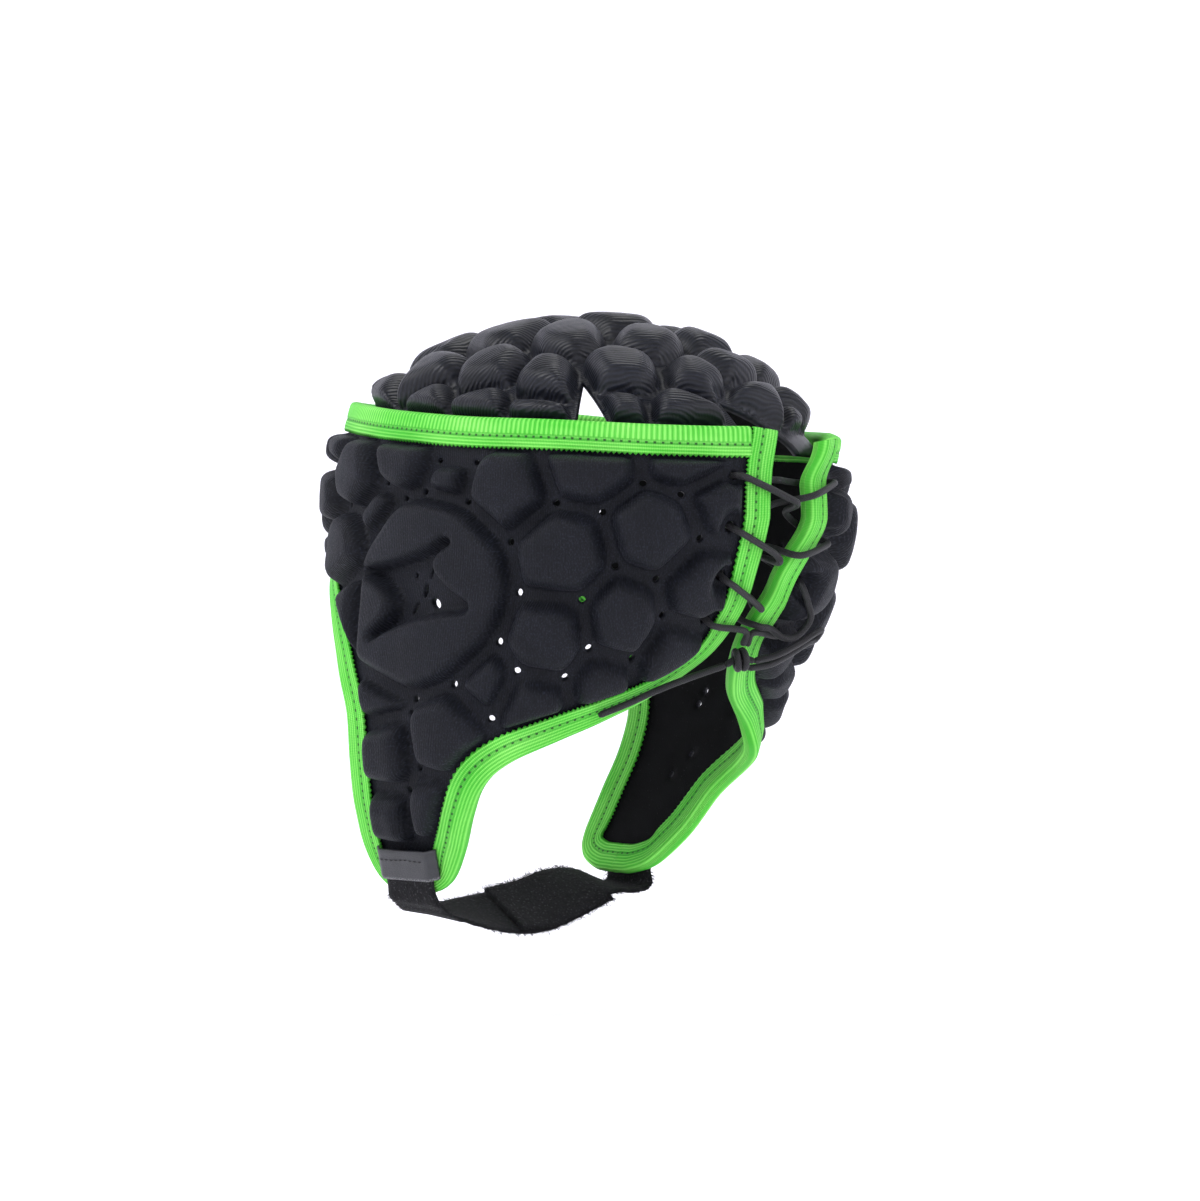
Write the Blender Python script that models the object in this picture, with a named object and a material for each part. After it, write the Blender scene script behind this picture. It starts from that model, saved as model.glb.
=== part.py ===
"""Rugby scrum cap: two moulded pad sheets bound with elastic tape, laced at the back.

Metres, +Z up. The wearer faces -Y and the wearer's left is +X. The origin is the middle of the
crown's inside, where the cap sits on the head.

Both sheets are laid out flat and then wrapped round one head form. On the wrap, a place is given by
`turn`, the share of the way from the forehead's middle to the back's middle, and `fall`: 0 at the
girth line, -1 at the crown, 1 at the flaps' lower end. On the crown it is given by its azimuth from
the front, in degrees, and its reach, the share of the way from the crown's middle to the girth line.
"""

import math

import bmesh
import bpy
from mathutils import Vector
from mathutils.geometry import delaunay_2d_cdt, intersect_line_line_2d

# Head form
HEAD_HALF_WIDTH = 0.081
HEAD_FRONT = 0.104
HEAD_BACK = 0.101
CROWN_RISE = 0.068
FLAP_DROP = 0.142
CORNER_STAND = 0.010  # how far the loose back corners stand off the head
WRAP_WALL = 0.22  # power of the dome's shrink above the girth line: 0 is an upright wall, 1 a dome
CROWN_SQUARE = 0.08  # how much fuller than a dome the crown is at its rim
CROWN_LEAN = 0.34  # how much more so towards CROWN_LEAN_AT, and less on the other side
CROWN_LEAN_AT = 43.0  # degrees from the front towards the wearer's left

# Pad sheets
SHEET = 0.0026
WRAP_PAD = 0.0074
CROWN_PAD = 0.0080
VALLEY = 0.0050
PAD_SHOULDER = 0.0016
PAD_CROWN_INSET = 0.0046
SMALL_PAD = 0.0090  # a pad narrower than this to its middle is lower too
LEAST_PAD = 0.0018  # one narrower than this is left out
LEAST_SIDE = 0.0012  # corners of a pad closer than this are merged
CROWN_TUCK = 0.0090
PERFORATION = 0.0030
STAR_SLOPE = 0.0030

# Tape, patch and strap
TAPE = 0.0010
TAPE_WIDTH = 0.0095
TAPE_GAP = 0.0010  # between the sheet and the tape folded over it, with room for both facetings
TAPE_TO_PAD = 0.0014
CLEARANCE = 0.0007
STRAP_WIDTH = 0.025
STRAP = 0.0016
PATCH = 0.0012

# Lacing
LACE = 0.0026
EYELET = 0.0052
EYELET_RIM = 0.0022  # flat cloth round an eyelet
LACE_EASE = 0.0005  # further room round the lace where it turns over the tape
LACE_CLEAR = 0.0010  # how much further past the tape a strand runs before it changes height
CROSS_OVER = 0.0066  # height of a strand halfway over the gap, where it crosses over another
CROSS_UNDER = -0.0036
KNOT_WIDTH = 0.0095

# How finely things are faceted
STATION = 0.0122
RING_STEP = 0.0186

# Sections of the head form below the girth line. Fall is a share of FLAP_DROP, the middle's place
# and the front reach are shares of HEAD_FRONT, the back reach of HEAD_BACK, the width of
# HEAD_HALF_WIDTH, and square is the exponent of the section's outline.
SECTIONS = (
    # fall, middle, front, back, width, square
    (0.000, 0.000, 1.000, 1.000, 1.000, 2.0),
    (0.155, -0.010, 1.010, 0.891, 1.000, 2.1),
    (0.331, -0.058, 1.048, 0.693, 1.000, 2.3),
    (0.493, -0.115, 1.096, 0.485, 0.988, 2.6),
    (0.655, -0.173, 1.135, 0.396, 0.932, 2.6),
    (0.824, -0.231, 1.115, 0.337, 0.815, 2.6),
    (1.000, -0.308, 1.058, 0.257, 0.667, 2.6),
)

# The wrap's edge, one half, as turn and fall.
TOP_EDGE = (
    (0.000, -0.455),
    (0.200, -0.450),
    (0.417, -0.382),
    (0.557, -0.342),
    (0.681, -0.322),
    (0.796, -0.302),
    (0.880, -0.295),
    (0.970, -0.293),
)
BACK_EDGE = (
    (0.970, -0.293),
    (0.962, -0.180),
    (0.956, -0.050),
    (0.957, 0.100),
    (0.970, 0.240),
    (0.954, 0.345),
    (0.880, 0.444),
    (0.790, 0.517),
    (0.716, 0.573),
    (0.656, 0.627),
    (0.622, 0.690),
    (0.604, 0.780),
    (0.590, 0.880),
    (0.566, 0.960),
    (0.520, 0.995),
    (0.480, 1.000),
)
FACE_EDGE = (
    (0.480, 1.000),
    (0.430, 0.990),
    (0.392, 0.950),
    (0.378, 0.880),
    (0.381, 0.770),
    (0.390, 0.650),
    (0.386, 0.520),
    (0.358, 0.420),
    (0.312, 0.310),
    (0.262, 0.225),
    (0.200, 0.160),
    (0.100, 0.112),
    (0.000, 0.100),
)

# The wrap's pads, one half: the middle, and the size as a share of PAD_REACH, which draws the
# borders between neighbours.
PAD_REACH = 0.0160
WRAP_PADS = (
    # turn, fall, size
    (0.055, -0.300, 0.94),
    (0.158, -0.300, 0.94),
    (0.258, -0.300, 0.88),
    (0.050, -0.095, 0.94),
    (0.143, -0.090, 0.94),
    (0.235, -0.086, 0.94),
    (0.346, -0.160, 1.00),
    (0.455, -0.225, 0.94),
    (0.402, -0.020, 0.50),
    (0.228, 0.082, 0.62),
    (0.315, 0.080, 0.94),
    (0.352, 0.240, 0.81),
    (0.545, -0.245, 0.38),
    (0.541, -0.130, 0.44),
    (0.504, 0.198, 2.31),
    (0.625, -0.095, 1.00),
    (0.730, -0.165, 1.06),
    (0.701, 0.100, 1.03),
    (0.810, 0.040, 1.03),
    (0.847, -0.185, 0.88),
    (0.888, -0.035, 0.81),
    (0.782, 0.252, 1.03),
    (0.872, 0.165, 0.94),
    (0.691, 0.308, 0.97),
    (0.768, 0.420, 0.88),
    (0.858, 0.330, 0.81),
    (0.683, 0.480, 0.81),
    (0.618, 0.425, 0.50),
    (0.455, 0.500, 0.50),
    (0.466, 0.625, 0.94),
    (0.565, 0.570, 0.94),
    (0.460, 0.775, 0.81),
    (0.545, 0.755, 0.81),
)

PATCH_SEEDS = ((0.455, 0.935, 0.58), (0.535, 0.935, 0.58))  # keep the lowest pads off the patch

# The star vent: its middle, then for each point its tip and the bottom of the curve that follows,
# as shares of STAR_REACH from the middle, across and down.
STAR_REACH = 0.030
STAR_MIDDLE = (0.497, 0.193)
STAR = (
    # tip across, tip down, curve across, curve down
    (0.877, 0.217, 0.235, -0.245),
    (0.510, -0.620, -0.077, -0.375),
    (-1.013, -0.233, -0.325, 0.125),
    (-0.657, 0.597, 0.030, 0.325),
)
STAR_TIP = 0.0016  # half width of a point's end
STAR_HOLES = (
    # across, down, half width, half height, tilt in degrees
    (-0.190, -0.185, 0.033, 0.033, 0.0),
    (0.085, -0.205, 0.022, 0.070, 12.0),
    (0.010, 0.003, 0.045, 0.097, 4.0),
    (0.213, 0.163, 0.093, 0.057, 32.0),
    (-0.115, 0.225, 0.033, 0.085, 36.0),
)

# The crown's pads: azimuth in degrees, reach, and size as a share of PAD_REACH. Rows before
# MIRRORED_PADS are repeated on the other side.
CROWN_PADS = (
    # azimuth, reach, size
    (51.8, 0.560, 0.81),
    (67.7, 0.470, 0.94),
    (78.0, 0.600, 0.69),
    (98.4, 0.465, 0.94),
    (102.4, 0.610, 0.75),
    (120.0, 0.515, 0.88),
    (118.5, 0.650, 0.69),
    (124.5, 0.285, 1.00),
    (145.0, 0.480, 0.94),
    (142.5, 0.650, 0.69),
    (157.0, 0.655, 0.75),
    (75.0, 0.260, 1.00),
    (33.0, 0.350, 1.00),
    (24.0, 0.500, 0.75),
    (160.0, 0.315, 0.88),
    (166.5, 0.515, 0.81),
    (0.0, 0.130, 1.00),
    (180.0, 0.110, 0.88),
    (0.0, 0.400, 0.88),
    (182.0, 0.450, 0.69),
    (181.0, 0.625, 0.81),
    (194.5, 0.700, 0.60),
)
MIRRORED_PADS = 16

# The crown's notches: azimuth and reach of the apex, then the azimuths of its two rim ends.
CROWN_NOTCHES = (
    # apex azimuth, apex reach, rim from, rim to
    (40.0, 0.380, 31.0, 43.0),
    (132.0, 0.500, 130.0, 141.0),
    (170.0, 0.590, 172.5, 189.0),
    (228.0, 0.500, 219.0, 230.0),
    (312.0, 0.340, 300.0, 325.0),
)

# How the cap hangs: where each side's cloth leaves the symmetric form. Side, then the middle and
# the spread as turn and fall, the shift in turn and fall, and the lift as a share of CORNER_STAND.
DRAPE = (
    # side, turn, fall, turn spread, fall spread, turn shift, fall shift, lift
    (1, 0.970, -0.330, 0.100, 0.190, 0.000, 0.000, 0.20),
    (-1, 0.950, -0.330, 0.140, 0.230, -0.040, 0.030, 0.44),
    (-1, 0.980, 0.110, 0.070, 0.110, 0.030, 0.000, 0.15),
    (-1, 0.680, 0.640, 0.115, 0.170, 0.034, 0.008, 0.32),
    (-1, 0.480, 1.000, 0.180, 0.160, 0.000, -0.022, 0.00),
)

# Lace eyelets, as falls along the back edge, from the top.
EYELETS_LEFT = (-0.135, 0.025, 0.145, 0.255)
EYELETS_RIGHT = (-0.122, 0.051, 0.158, 0.285)

# Where the knot sits, as turn and fall, and how far off the head.
KNOT_SPOT = (0.996, 0.326)
KNOT_OUT = 0.0110
KNOT_REACH = 0.0057  # from the knot's middle to where a strand or a tail meets it

# The loose bow of lace at the wearer's right: places from the third eyelet as shares of BOW_REACH,
# across away from the gap, down, and out from the head.
BOW_REACH = 0.020
LACE_BOW = (
    (0.15, 0.22, 0.48),
    (0.30, 0.42, 0.64),
    (0.24, 0.70, 0.64),
    (-0.10, 0.78, 0.56),
    (-0.45, 0.72, 0.38),
    (-0.84, 0.70, 0.34),
    (-1.04, 0.78, -0.08),
)

# The free ends: side, turn, fall, and height as a share of KNOT_OUT.
TAIL_LEFT = (
    (1, 0.966, 0.348, 0.90),
    (1, 0.915, 0.387, 0.72),
    (1, 0.865, 0.422, 0.66),
    (1, 0.815, 0.460, 0.66),
    (1, 0.770, 0.494, 0.66),
)
TAIL_RIGHT = (
    (-1, 0.976, 0.316, 1.30),
    (-1, 0.945, 0.298, 1.34),
    (-1, 0.905, 0.274, 1.30),
    (-1, 0.868, 0.252, 1.25),
    (-1, 0.847, 0.246, 1.25),
    (-1, 0.848, 0.269, 1.25),
    (-1, 0.872, 0.277, 1.25),
    (-1, 0.908, 0.300, 1.30),
    (-1, 0.945, 0.324, 1.34),
    (-1, 0.972, 0.342, 1.30),
)

# The chin strap. On the flaps it lies at one turn, between two falls, with a patch over it.
STRAP_TURN = 0.484
STRAP_FALLS = (0.874, 0.904, 0.946, 0.980)
PATCH_FALLS = (0.862, 0.904, 0.946)
PATCH_COLUMNS = (
    # share of the strap's half width, share of the rise over the strap
    (-1.25, 0.0),
    (-1.17, 0.0),
    (-1.03, 1.0),
    (0.0, 1.0),
    (1.03, 1.0),
    (1.17, 0.0),
    (1.25, 0.0),
)
# Between the flaps: the strap's middle line as shares of HEAD_HALF_WIDTH, of HEAD_FRONT and of the
# cap's whole drop, and how far its width leans over from upright, in degrees.
STRAP_ROUTE = (
    # x, y, z, lean
    (0.738, -0.325, 1.014, 90.0),
    (0.645, -0.335, 1.038, 88.0),
    (0.510, -0.346, 1.046, 80.0),
    (0.320, -0.356, 1.051, 66.0),
    (0.100, -0.365, 1.054, 54.0),
    (-0.100, -0.365, 1.049, 47.0),
    (-0.250, -0.365, 1.036, 47.0),
    (-0.400, -0.365, 1.024, 56.0),
    (-0.530, -0.362, 1.017, 70.0),
    (-0.680, -0.342, 1.029, 82.0),
    (-0.750, -0.330, 1.025, 88.0),
    (-0.778, -0.325, 1.008, 90.0),
)
STRAP_END_LEFT = 9
STRAP_START_RIGHT = 4

COLOURS = {
    "pad": ((0.010, 0.011, 0.014, 1.0), 0.80),
    "tape": ((0.150, 0.720, 0.060, 1.0), 0.70),
    "patch": ((0.020, 0.021, 0.024, 1.0), 0.45),
    "strap": ((0.011, 0.011, 0.012, 1.0), 0.95),
    "cord": ((0.014, 0.014, 0.015, 1.0), 0.65),
}


def clear_scene():
    for old in list(bpy.data.objects):
        bpy.data.objects.remove(old)


def material(name):
    """The finish called `name`, made once."""
    found = bpy.data.materials.get(name)
    if found:
        return found
    colour, roughness = COLOURS[name]
    made = bpy.data.materials.new(name)
    made.use_nodes = True
    shader = made.node_tree.nodes["Principled BSDF"]
    shader.inputs["Base Color"].default_value = colour
    shader.inputs["Roughness"].default_value = roughness
    shader.inputs["Metallic"].default_value = 0.0
    return made


def add_object(name, mesh, finish):
    part = bpy.data.objects.new(name, mesh)
    part.data.materials.append(material(finish))
    PARTS.objects.link(part)
    return part


# Curves through hand-chosen places


def catmull(before, start, end, after, share):
    """A place between start and end on the smooth curve through four places."""
    square, cube = share * share, share * share * share
    return (
        2.0 * start
        + (end - before) * share
        + (2.0 * before - 5.0 * start + 4.0 * end - after) * square
        + (3.0 * start - before - 3.0 * end + after) * cube
    ) * 0.5


def smooth_curve(places, steps=8):
    """A dense polyline on the smooth curve through `places`."""
    dense = []
    for index in range(len(places) - 1):
        start, end = places[index], places[index + 1]
        before = places[index - 1] if index else start * 2.0 - end
        after = places[index + 2] if index + 2 < len(places) else end * 2.0 - start
        dense += [catmull(before, start, end, after, step / steps) for step in range(steps)]
    return dense + [places[-1]]


def evenly(polyline, spacing):
    """The polyline cut again into equal steps of about `spacing`, ends kept."""
    lengths = [0.0]
    for start, end in zip(polyline, polyline[1:]):
        lengths.append(lengths[-1] + (end - start).length)
    count = max(2, round(lengths[-1] / spacing))
    places, index = [], 0
    for step in range(count + 1):
        wanted = lengths[-1] * step / count
        while index < len(lengths) - 2 and lengths[index + 1] < wanted:
            index += 1
        share = (wanted - lengths[index]) / (lengths[index + 1] - lengths[index])
        places.append(polyline[index].lerp(polyline[index + 1], min(1.0, share)))
    return places


# Head form


def section(fall):
    """Middle, front, back and width in metres, and squareness, of the form at `fall` >= 0."""
    rows = SECTIONS
    fall = min(max(fall, 0.0), rows[-1][0])
    index = 0
    while index < len(rows) - 2 and rows[index + 1][0] < fall:
        index += 1
    low, high = rows[index], rows[index + 1]
    before = rows[index - 1] if index else low
    after = rows[index + 2] if index + 2 < len(rows) else high
    share = (fall - low[0]) / (high[0] - low[0])
    middle, front, back, width, square = (
        catmull(before[k], low[k], high[k], after[k], share) for k in range(1, 6)
    )
    return (
        middle * HEAD_FRONT,
        front * HEAD_FRONT,
        back * HEAD_BACK,
        width * HEAD_HALF_WIDTH,
        square,
    )


def form(azimuth, fall, wall):
    """A place on the head form: azimuth in radians from the front towards the wearer's left.

    The form's shrink above the girth line is raised to the power `wall`.
    """
    middle, front, back, width, square = section(fall)
    shrink, height = 1.0, -CROWN_RISE - fall * FLAP_DROP
    if fall < 0.0:
        rise = -fall * math.pi / 2.0
        shrink, height = math.cos(rise) ** wall, -CROWN_RISE * (1.0 - math.sin(rise))
    across, along = math.sin(azimuth), -math.cos(azimuth)
    depth = (front + middle) if along < 0.0 else (back - middle)
    radius = (abs(across / width) ** square + abs(along / depth) ** square) ** (-1.0 / square)
    return Vector((shrink * radius * across, shrink * (middle + radius * along), height))


def raised(azimuth, fall, out, wall=WRAP_WALL):
    """A place `out` metres off the head form, square to it."""
    step = 0.004
    fall = max(fall, -0.985)
    sideways = form(azimuth + step, fall, wall) - form(azimuth - step, fall, wall)
    down = form(azimuth, fall + step, wall) - form(azimuth, fall - step, wall)
    normal = down.cross(sideways).normalized()
    return form(azimuth, fall, wall) + normal * out


def girth_shares(steps=360):
    """Rows of azimuth in radians and share of the half girth, and the half girth's length."""
    rows, length = [(0.0, 0.0)], 0.0
    last = form(0.0, 0.0, WRAP_WALL)
    for step in range(1, steps + 1):
        azimuth = math.pi * step / steps
        here = form(azimuth, 0.0, WRAP_WALL)
        length += (here - last).length
        rows.append((azimuth, length))
        last = here
    return [(azimuth, run / length) for azimuth, run in rows], length


GIRTH_ROWS, HALF_GIRTH = girth_shares()
CROWN_ARC = math.pi / 2.0 * math.sqrt(
    (CROWN_RISE**2 + (HEAD_HALF_WIDTH**2 + HEAD_FRONT**2) / 2.0) / 2.0
)


def azimuth_of(turn):
    """The azimuth, in radians, of a share of the half girth."""
    if turn < 0.0:
        return -azimuth_of(-turn)
    whole = len(GIRTH_ROWS) - 1
    if turn >= 1.0:
        return math.pi + (turn - 1.0) * HALF_GIRTH / HEAD_BACK
    index = min(int(turn * whole), whole - 1)
    while GIRTH_ROWS[index][1] > turn:
        index -= 1
    while GIRTH_ROWS[index + 1][1] < turn:
        index += 1
    low, high = GIRTH_ROWS[index], GIRTH_ROWS[index + 1]
    return low[0] + (high[0] - low[0]) * (turn - low[1]) / (high[1] - low[1])


def flat(turn, fall):
    """A place on the wrap, laid out flat in metres."""
    return Vector((turn * HALF_GIRTH, fall * (CROWN_ARC if fall < 0.0 else FLAP_DROP)))


def wrap_place(side, spot, out):
    """Where a flat place of the wrap lies on one side of the head, `out` metres off it."""
    turn = spot.x / HALF_GIRTH
    fall = spot.y / (CROWN_ARC if spot.y < 0.0 else FLAP_DROP)
    for row_side, at_turn, at_fall, turn_spread, fall_spread, turn_shift, fall_shift, lift in DRAPE:
        if row_side != side or spot.x <= 0.0:
            continue
        away = ((turn - at_turn) / turn_spread) ** 2 + ((fall - at_fall) / fall_spread) ** 2
        if away < 1.0:
            pull = (1.0 - away) ** 2
            turn += turn_shift * pull
            fall += fall_shift * pull
            out += lift * CORNER_STAND * pull
    place = raised(azimuth_of(turn), fall, out)
    return Vector((place.x * side, place.y, place.z))


def crown_flat(azimuth, reach):
    """A place on the crown, laid out flat in metres. The azimuth is in degrees."""
    angle = math.radians(azimuth)
    return Vector((reach * math.sin(angle), -reach * math.cos(angle))) * CROWN_ARC


def wrap_top_reach(azimuth):
    """Reach of the wrap's top edge at an azimuth in radians."""
    azimuth = abs((azimuth + math.pi) % (2.0 * math.pi) - math.pi)
    turns = [(azimuth_of(turn), 1.0 + fall) for turn, fall in TOP_EDGE]
    turns.append((math.pi, turns[-1][1]))
    for low, high in zip(turns, turns[1:]):
        if azimuth <= high[0]:
            return low[1] + (high[1] - low[1]) * (azimuth - low[0]) / (high[0] - low[0])
    return turns[-1][1]


def crown_place(spot, out):
    """Where a flat place of the crown lies on the head.

    Over the pads it follows the dome, fuller towards the rim. Below the wrap's edge it bends out
    to lie behind the wrap's tape.
    """
    reach = spot.length / CROWN_ARC
    azimuth = math.atan2(spot.x, -spot.y)
    edge = wrap_top_reach(azimuth)
    fuller = CROWN_SQUARE + CROWN_LEAN * math.cos(azimuth - math.radians(CROWN_LEAN_AT))
    wall = 1.0 - fuller * min(1.0, reach / edge) ** 3
    tuck = min(1.0, max(0.0, (reach - edge) * CROWN_ARC / CROWN_TUCK))
    domed = raised(azimuth, reach - 1.0, out, wall)
    if tuck == 0.0:
        return domed
    behind = out - SHEET - TAPE - TAPE_GAP - 1.4 * CLEARANCE
    return domed.lerp(raised(azimuth, reach - 1.0, behind), tuck)


# Flat outlines


def wrap_outline():
    """The half wrap's outline as three runs of even stations: top, back and face."""
    runs = []
    for table in (TOP_EDGE, BACK_EDGE, FACE_EDGE):
        curve = smooth_curve([flat(*row) for row in table])
        runs.append(evenly(curve, STATION))
    for run in (runs[0], runs[2]):
        end = run[0] if run is runs[0] else run[-1]
        end.x = 0.0
    return runs


def inward(places, index):
    """The flat direction into the sheet at a station. The sheet lies on the run's right."""
    before, after = places[max(0, index - 1)], places[min(len(places) - 1, index + 1)]
    along = (after - before).normalized()
    if places[index].x == 0.0:
        along.y = 0.0
    return Vector((-along.y, along.x)).normalized()


def stepped_in(places, index, place, reach):
    """A flat place `reach` metres in from a station, as measured on the head."""
    direction = inward(places, index)
    here = place(places[index], 0.0)
    step = reach
    for _ in range(2):
        step *= reach / max(1e-6, (place(places[index] + direction * step, 0.0) - here).length)
    return places[index] + direction * step


def inside(spot, loop):
    """Whether a flat place lies inside a closed loop."""
    found = False
    for start, end in zip(loop, loop[1:] + loop[:1]):
        if (start.y > spot.y) != (end.y > spot.y):
            cross = start.x + (end.x - start.x) * (spot.y - start.y) / (end.y - start.y)
            found ^= spot.x < cross
    return found


def nearest_edge(spot, loop):
    """Signed distance inside the loop, the nearest place on it, and the direction inward."""
    best = None
    for start, end in zip(loop, loop[1:] + loop[:1]):
        run = end - start
        share = min(1.0, max(0.0, (spot - start).dot(run) / max(run.length_squared, 1e-12)))
        near = start + run * share
        gap = (spot - near).length
        if best is None or gap < best[0]:
            best = (gap, near)
    gap, near = best
    within = inside(spot, loop)
    direction = (spot - near) * (1.0 if within else -1.0)
    return gap if within else -gap, near, direction.normalized()


# Pads


def clipped(polygon, normal, limit):
    """The part of a convex polygon with normal . place <= limit."""
    kept = []
    for start, end in zip(polygon, polygon[1:] + polygon[:1]):
        ahead, behind = normal.dot(start) - limit, normal.dot(end) - limit
        if ahead <= 0.0:
            kept.append(start)
        if (ahead < 0.0 < behind) or (behind < 0.0 < ahead):
            kept.append(start.lerp(end, ahead / (ahead - behind)))
    return kept


def polygon_of(planes, middle, inset):
    """The convex polygon inside all half planes, each moved in by `inset`."""
    reach = 0.2
    corners = ((-1, -1), (1, -1), (1, 1), (-1, 1))
    polygon = [middle + Vector(corner) * reach for corner in corners]
    for normal, limit in planes:
        polygon = clipped(polygon, normal, limit - inset)
        if len(polygon) < 3:
            return []
    merged = []
    for spot in polygon:
        if not merged or (spot - merged[-1]).length > LEAST_SIDE:
            merged.append(spot)
    if len(merged) > 2 and (merged[0] - merged[-1]).length <= LEAST_SIDE:
        merged.pop()
    return merged if len(merged) > 2 else []


def pad_planes(seeds, index, loop, margin, keep_off):
    """Half planes round one pad: midway to its neighbours, and inside the sheet's edge.

    Args: seeds are rows of a flat place and a reach, loop is the sheet's edge, margin is how far the
    pad stays off it, and keep_off lists places and radii that the pad stays clear of.
    """
    middle, size = seeds[index]
    planes = []
    for other, (far, far_size) in enumerate(seeds):
        apart = far - middle
        if other == index or apart.length > 0.12:
            continue
        border = (apart.length_squared + size**2 - far_size**2) / (2.0 * apart.length)
        normal = apart.normalized()
        planes.append((normal, normal.dot(middle) + border - VALLEY / 2.0))
    for spot, radius in keep_off:
        apart = spot - middle
        if apart.length < 0.05:
            normal = apart.normalized()
            planes.append((normal, normal.dot(middle) + apart.length - radius))
    for _ in range(8):
        polygon = polygon_of(planes, middle, 0.0)
        if not polygon:
            return []
        corners = subdivided(polygon, 0.006)
        gaps = [(nearest_edge(corner, loop)[0], index) for index, corner in enumerate(corners)]
        gap, worst = min(gaps)
        if gap >= margin - 1e-5:
            break
        planes.append(edge_plane(middle, corners[worst], loop, margin))
    return planes


def edge_plane(middle, corner, loop, margin):
    """The half plane that keeps a pad `margin` inside the sheet's edge near one of its corners."""
    gap, near, direction = nearest_edge(corner, loop)
    if gap <= 0.0:
        for start, end in zip(loop, loop[1:] + loop[:1]):
            met = intersect_line_line_2d(middle, corner, start, end)
            if met is None:
                continue
            normal = Vector((end.y - start.y, start.x - end.x)).normalized()
            if normal.dot(corner - middle) < 0.0:
                normal = -normal
            if normal.dot(met - middle) > margin * 1.2:
                return normal, normal.dot(met) - margin
            near = met
        direction = (middle - corner).normalized()
    return -direction, (-direction).dot(near) - margin


def subdivided(polygon, spacing):
    """The polygon with its long sides cut into even steps."""
    places = []
    for start, end in zip(polygon, polygon[1:] + polygon[:1]):
        count = max(1, math.ceil((end - start).length / spacing - 0.15))
        places += [start.lerp(end, step / count) for step in range(count)]
    return places


def pad_rings(planes, middle, rise, step=RING_STEP):
    """Rings of one pad from the sheet up, as lists of flat places with one height for each ring."""
    base = polygon_of(planes, middle, 0.0)
    if not base:
        return []
    room = min(limit - normal.dot(centroid(base)) for normal, limit in planes)
    if room < LEAST_PAD:
        return []
    height = rise * min(1.0, math.sqrt(room / SMALL_PAD))
    shoulder = min(PAD_SHOULDER, room * 0.25)
    crown = min(PAD_CROWN_INSET, room * 0.62)
    rings = [(subdivided(base, step), 0.0)]
    for inset, share in ((shoulder, 0.72), (crown, 1.0)):
        ring = polygon_of(planes, middle, inset)
        if ring:
            rings.append((subdivided(ring, step), height * share))
    return rings


def centroid(polygon):
    total = Vector((0.0, 0.0))
    for spot in polygon:
        total += spot
    return total / len(polygon)


def ring_of(middle, half_wide, half_tall, tilt, count, phase=0.0):
    """An oval loop, tilted by `tilt` degrees."""
    turn = math.radians(tilt)
    loop = []
    for step in range(count):
        angle = 2.0 * math.pi * (step + phase) / count
        wide, tall = half_wide * math.cos(angle), half_tall * math.sin(angle)
        loop.append(
            middle
            + Vector(
                (
                    wide * math.cos(turn) - tall * math.sin(turn),
                    wide * math.sin(turn) + tall * math.cos(turn),
                )
            )
        )
    return loop


def star_loop(grow):
    """The star vent's outline, moved out by `grow` metres."""
    middle = flat(*STAR_MIDDLE)
    tips = [Vector(row[:2]) * STAR_REACH for row in STAR]
    curves = [Vector(row[2:]) * STAR_REACH for row in STAR]
    loop = []
    for index, tip in enumerate(tips):
        before, curve = curves[index - 1], curves[index]
        after = tips[(index + 1) % len(tips)]
        across = Vector((-tip.y, tip.x)).normalized()
        if across.dot(curve - before) < 0.0:
            across = -across
        end = tip + tip.normalized() * grow
        half = STAR_TIP + grow * 0.6
        outward = curve.normalized() * grow
        loop += [end - across * half, end + across * half]
        loop += [tip.lerp(curve, 0.6) + outward, curve + outward, after.lerp(curve, 0.6) + outward]
    return [middle + spot for spot in loop]


def junctions(seeds, loop, margin):
    """Places where three pads' borders meet, well inside the sheet."""
    found = []
    for a in range(len(seeds)):
        for b in range(a + 1, len(seeds)):
            if (seeds[a][0] - seeds[b][0]).length > 0.075:
                continue
            for c in range(b + 1, len(seeds)):
                spot = power_centre(seeds[a], seeds[b], seeds[c])
                if spot is None:
                    continue
                power = (spot - seeds[a][0]).length_squared - seeds[a][1] ** 2
                rivals = (
                    (spot - place).length_squared - size**2
                    for k, (place, size) in enumerate(seeds)
                    if k not in (a, b, c)
                )
                if min(rivals) < power - 1e-9:
                    continue
                if nearest_edge(spot, loop)[0] > margin:
                    found.append(spot)
    return found


def power_centre(first, second, third):
    """The place with the same power to three pads, or None where they lie in a row."""
    (a, ra), (b, rb), (c, rc) = first, second, third
    u, v = b - a, c - a
    det = 2.0 * (u.x * v.y - u.y * v.x)
    if abs(det) < 1e-7:
        return None
    p = b.length_squared - a.length_squared - rb**2 + ra**2
    q = c.length_squared - a.length_squared - rc**2 + ra**2
    return Vector(((p * v.y - q * u.y) / det, (u.x * q - v.x * p) / det))


# Sheets


def triangulated(loops, spots):
    """Flat triangles over loops and loose spots.

    Args: loops are closed or open runs of (place, key), spots are (place, key).
    Returns: the flat places, their keys, and the triangles as index triples.
    """
    places, keys, edges = [], [], []
    for loop, closed in loops:
        first = len(places)
        places += [spot for spot, _ in loop]
        keys += [key for _, key in loop]
        count = len(loop)
        edges += [(first + k, first + (k + 1) % count) for k in range(count if closed else count - 1)]
    for spot, key in spots:
        places.append(spot)
        keys.append(key)
    out, _, faces, origin, _, _ = delaunay_2d_cdt(places, edges, [], 0, 1e-7)
    out_keys = [keys[rows[0]] if rows else None for rows in origin]
    return out, out_keys, faces


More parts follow.
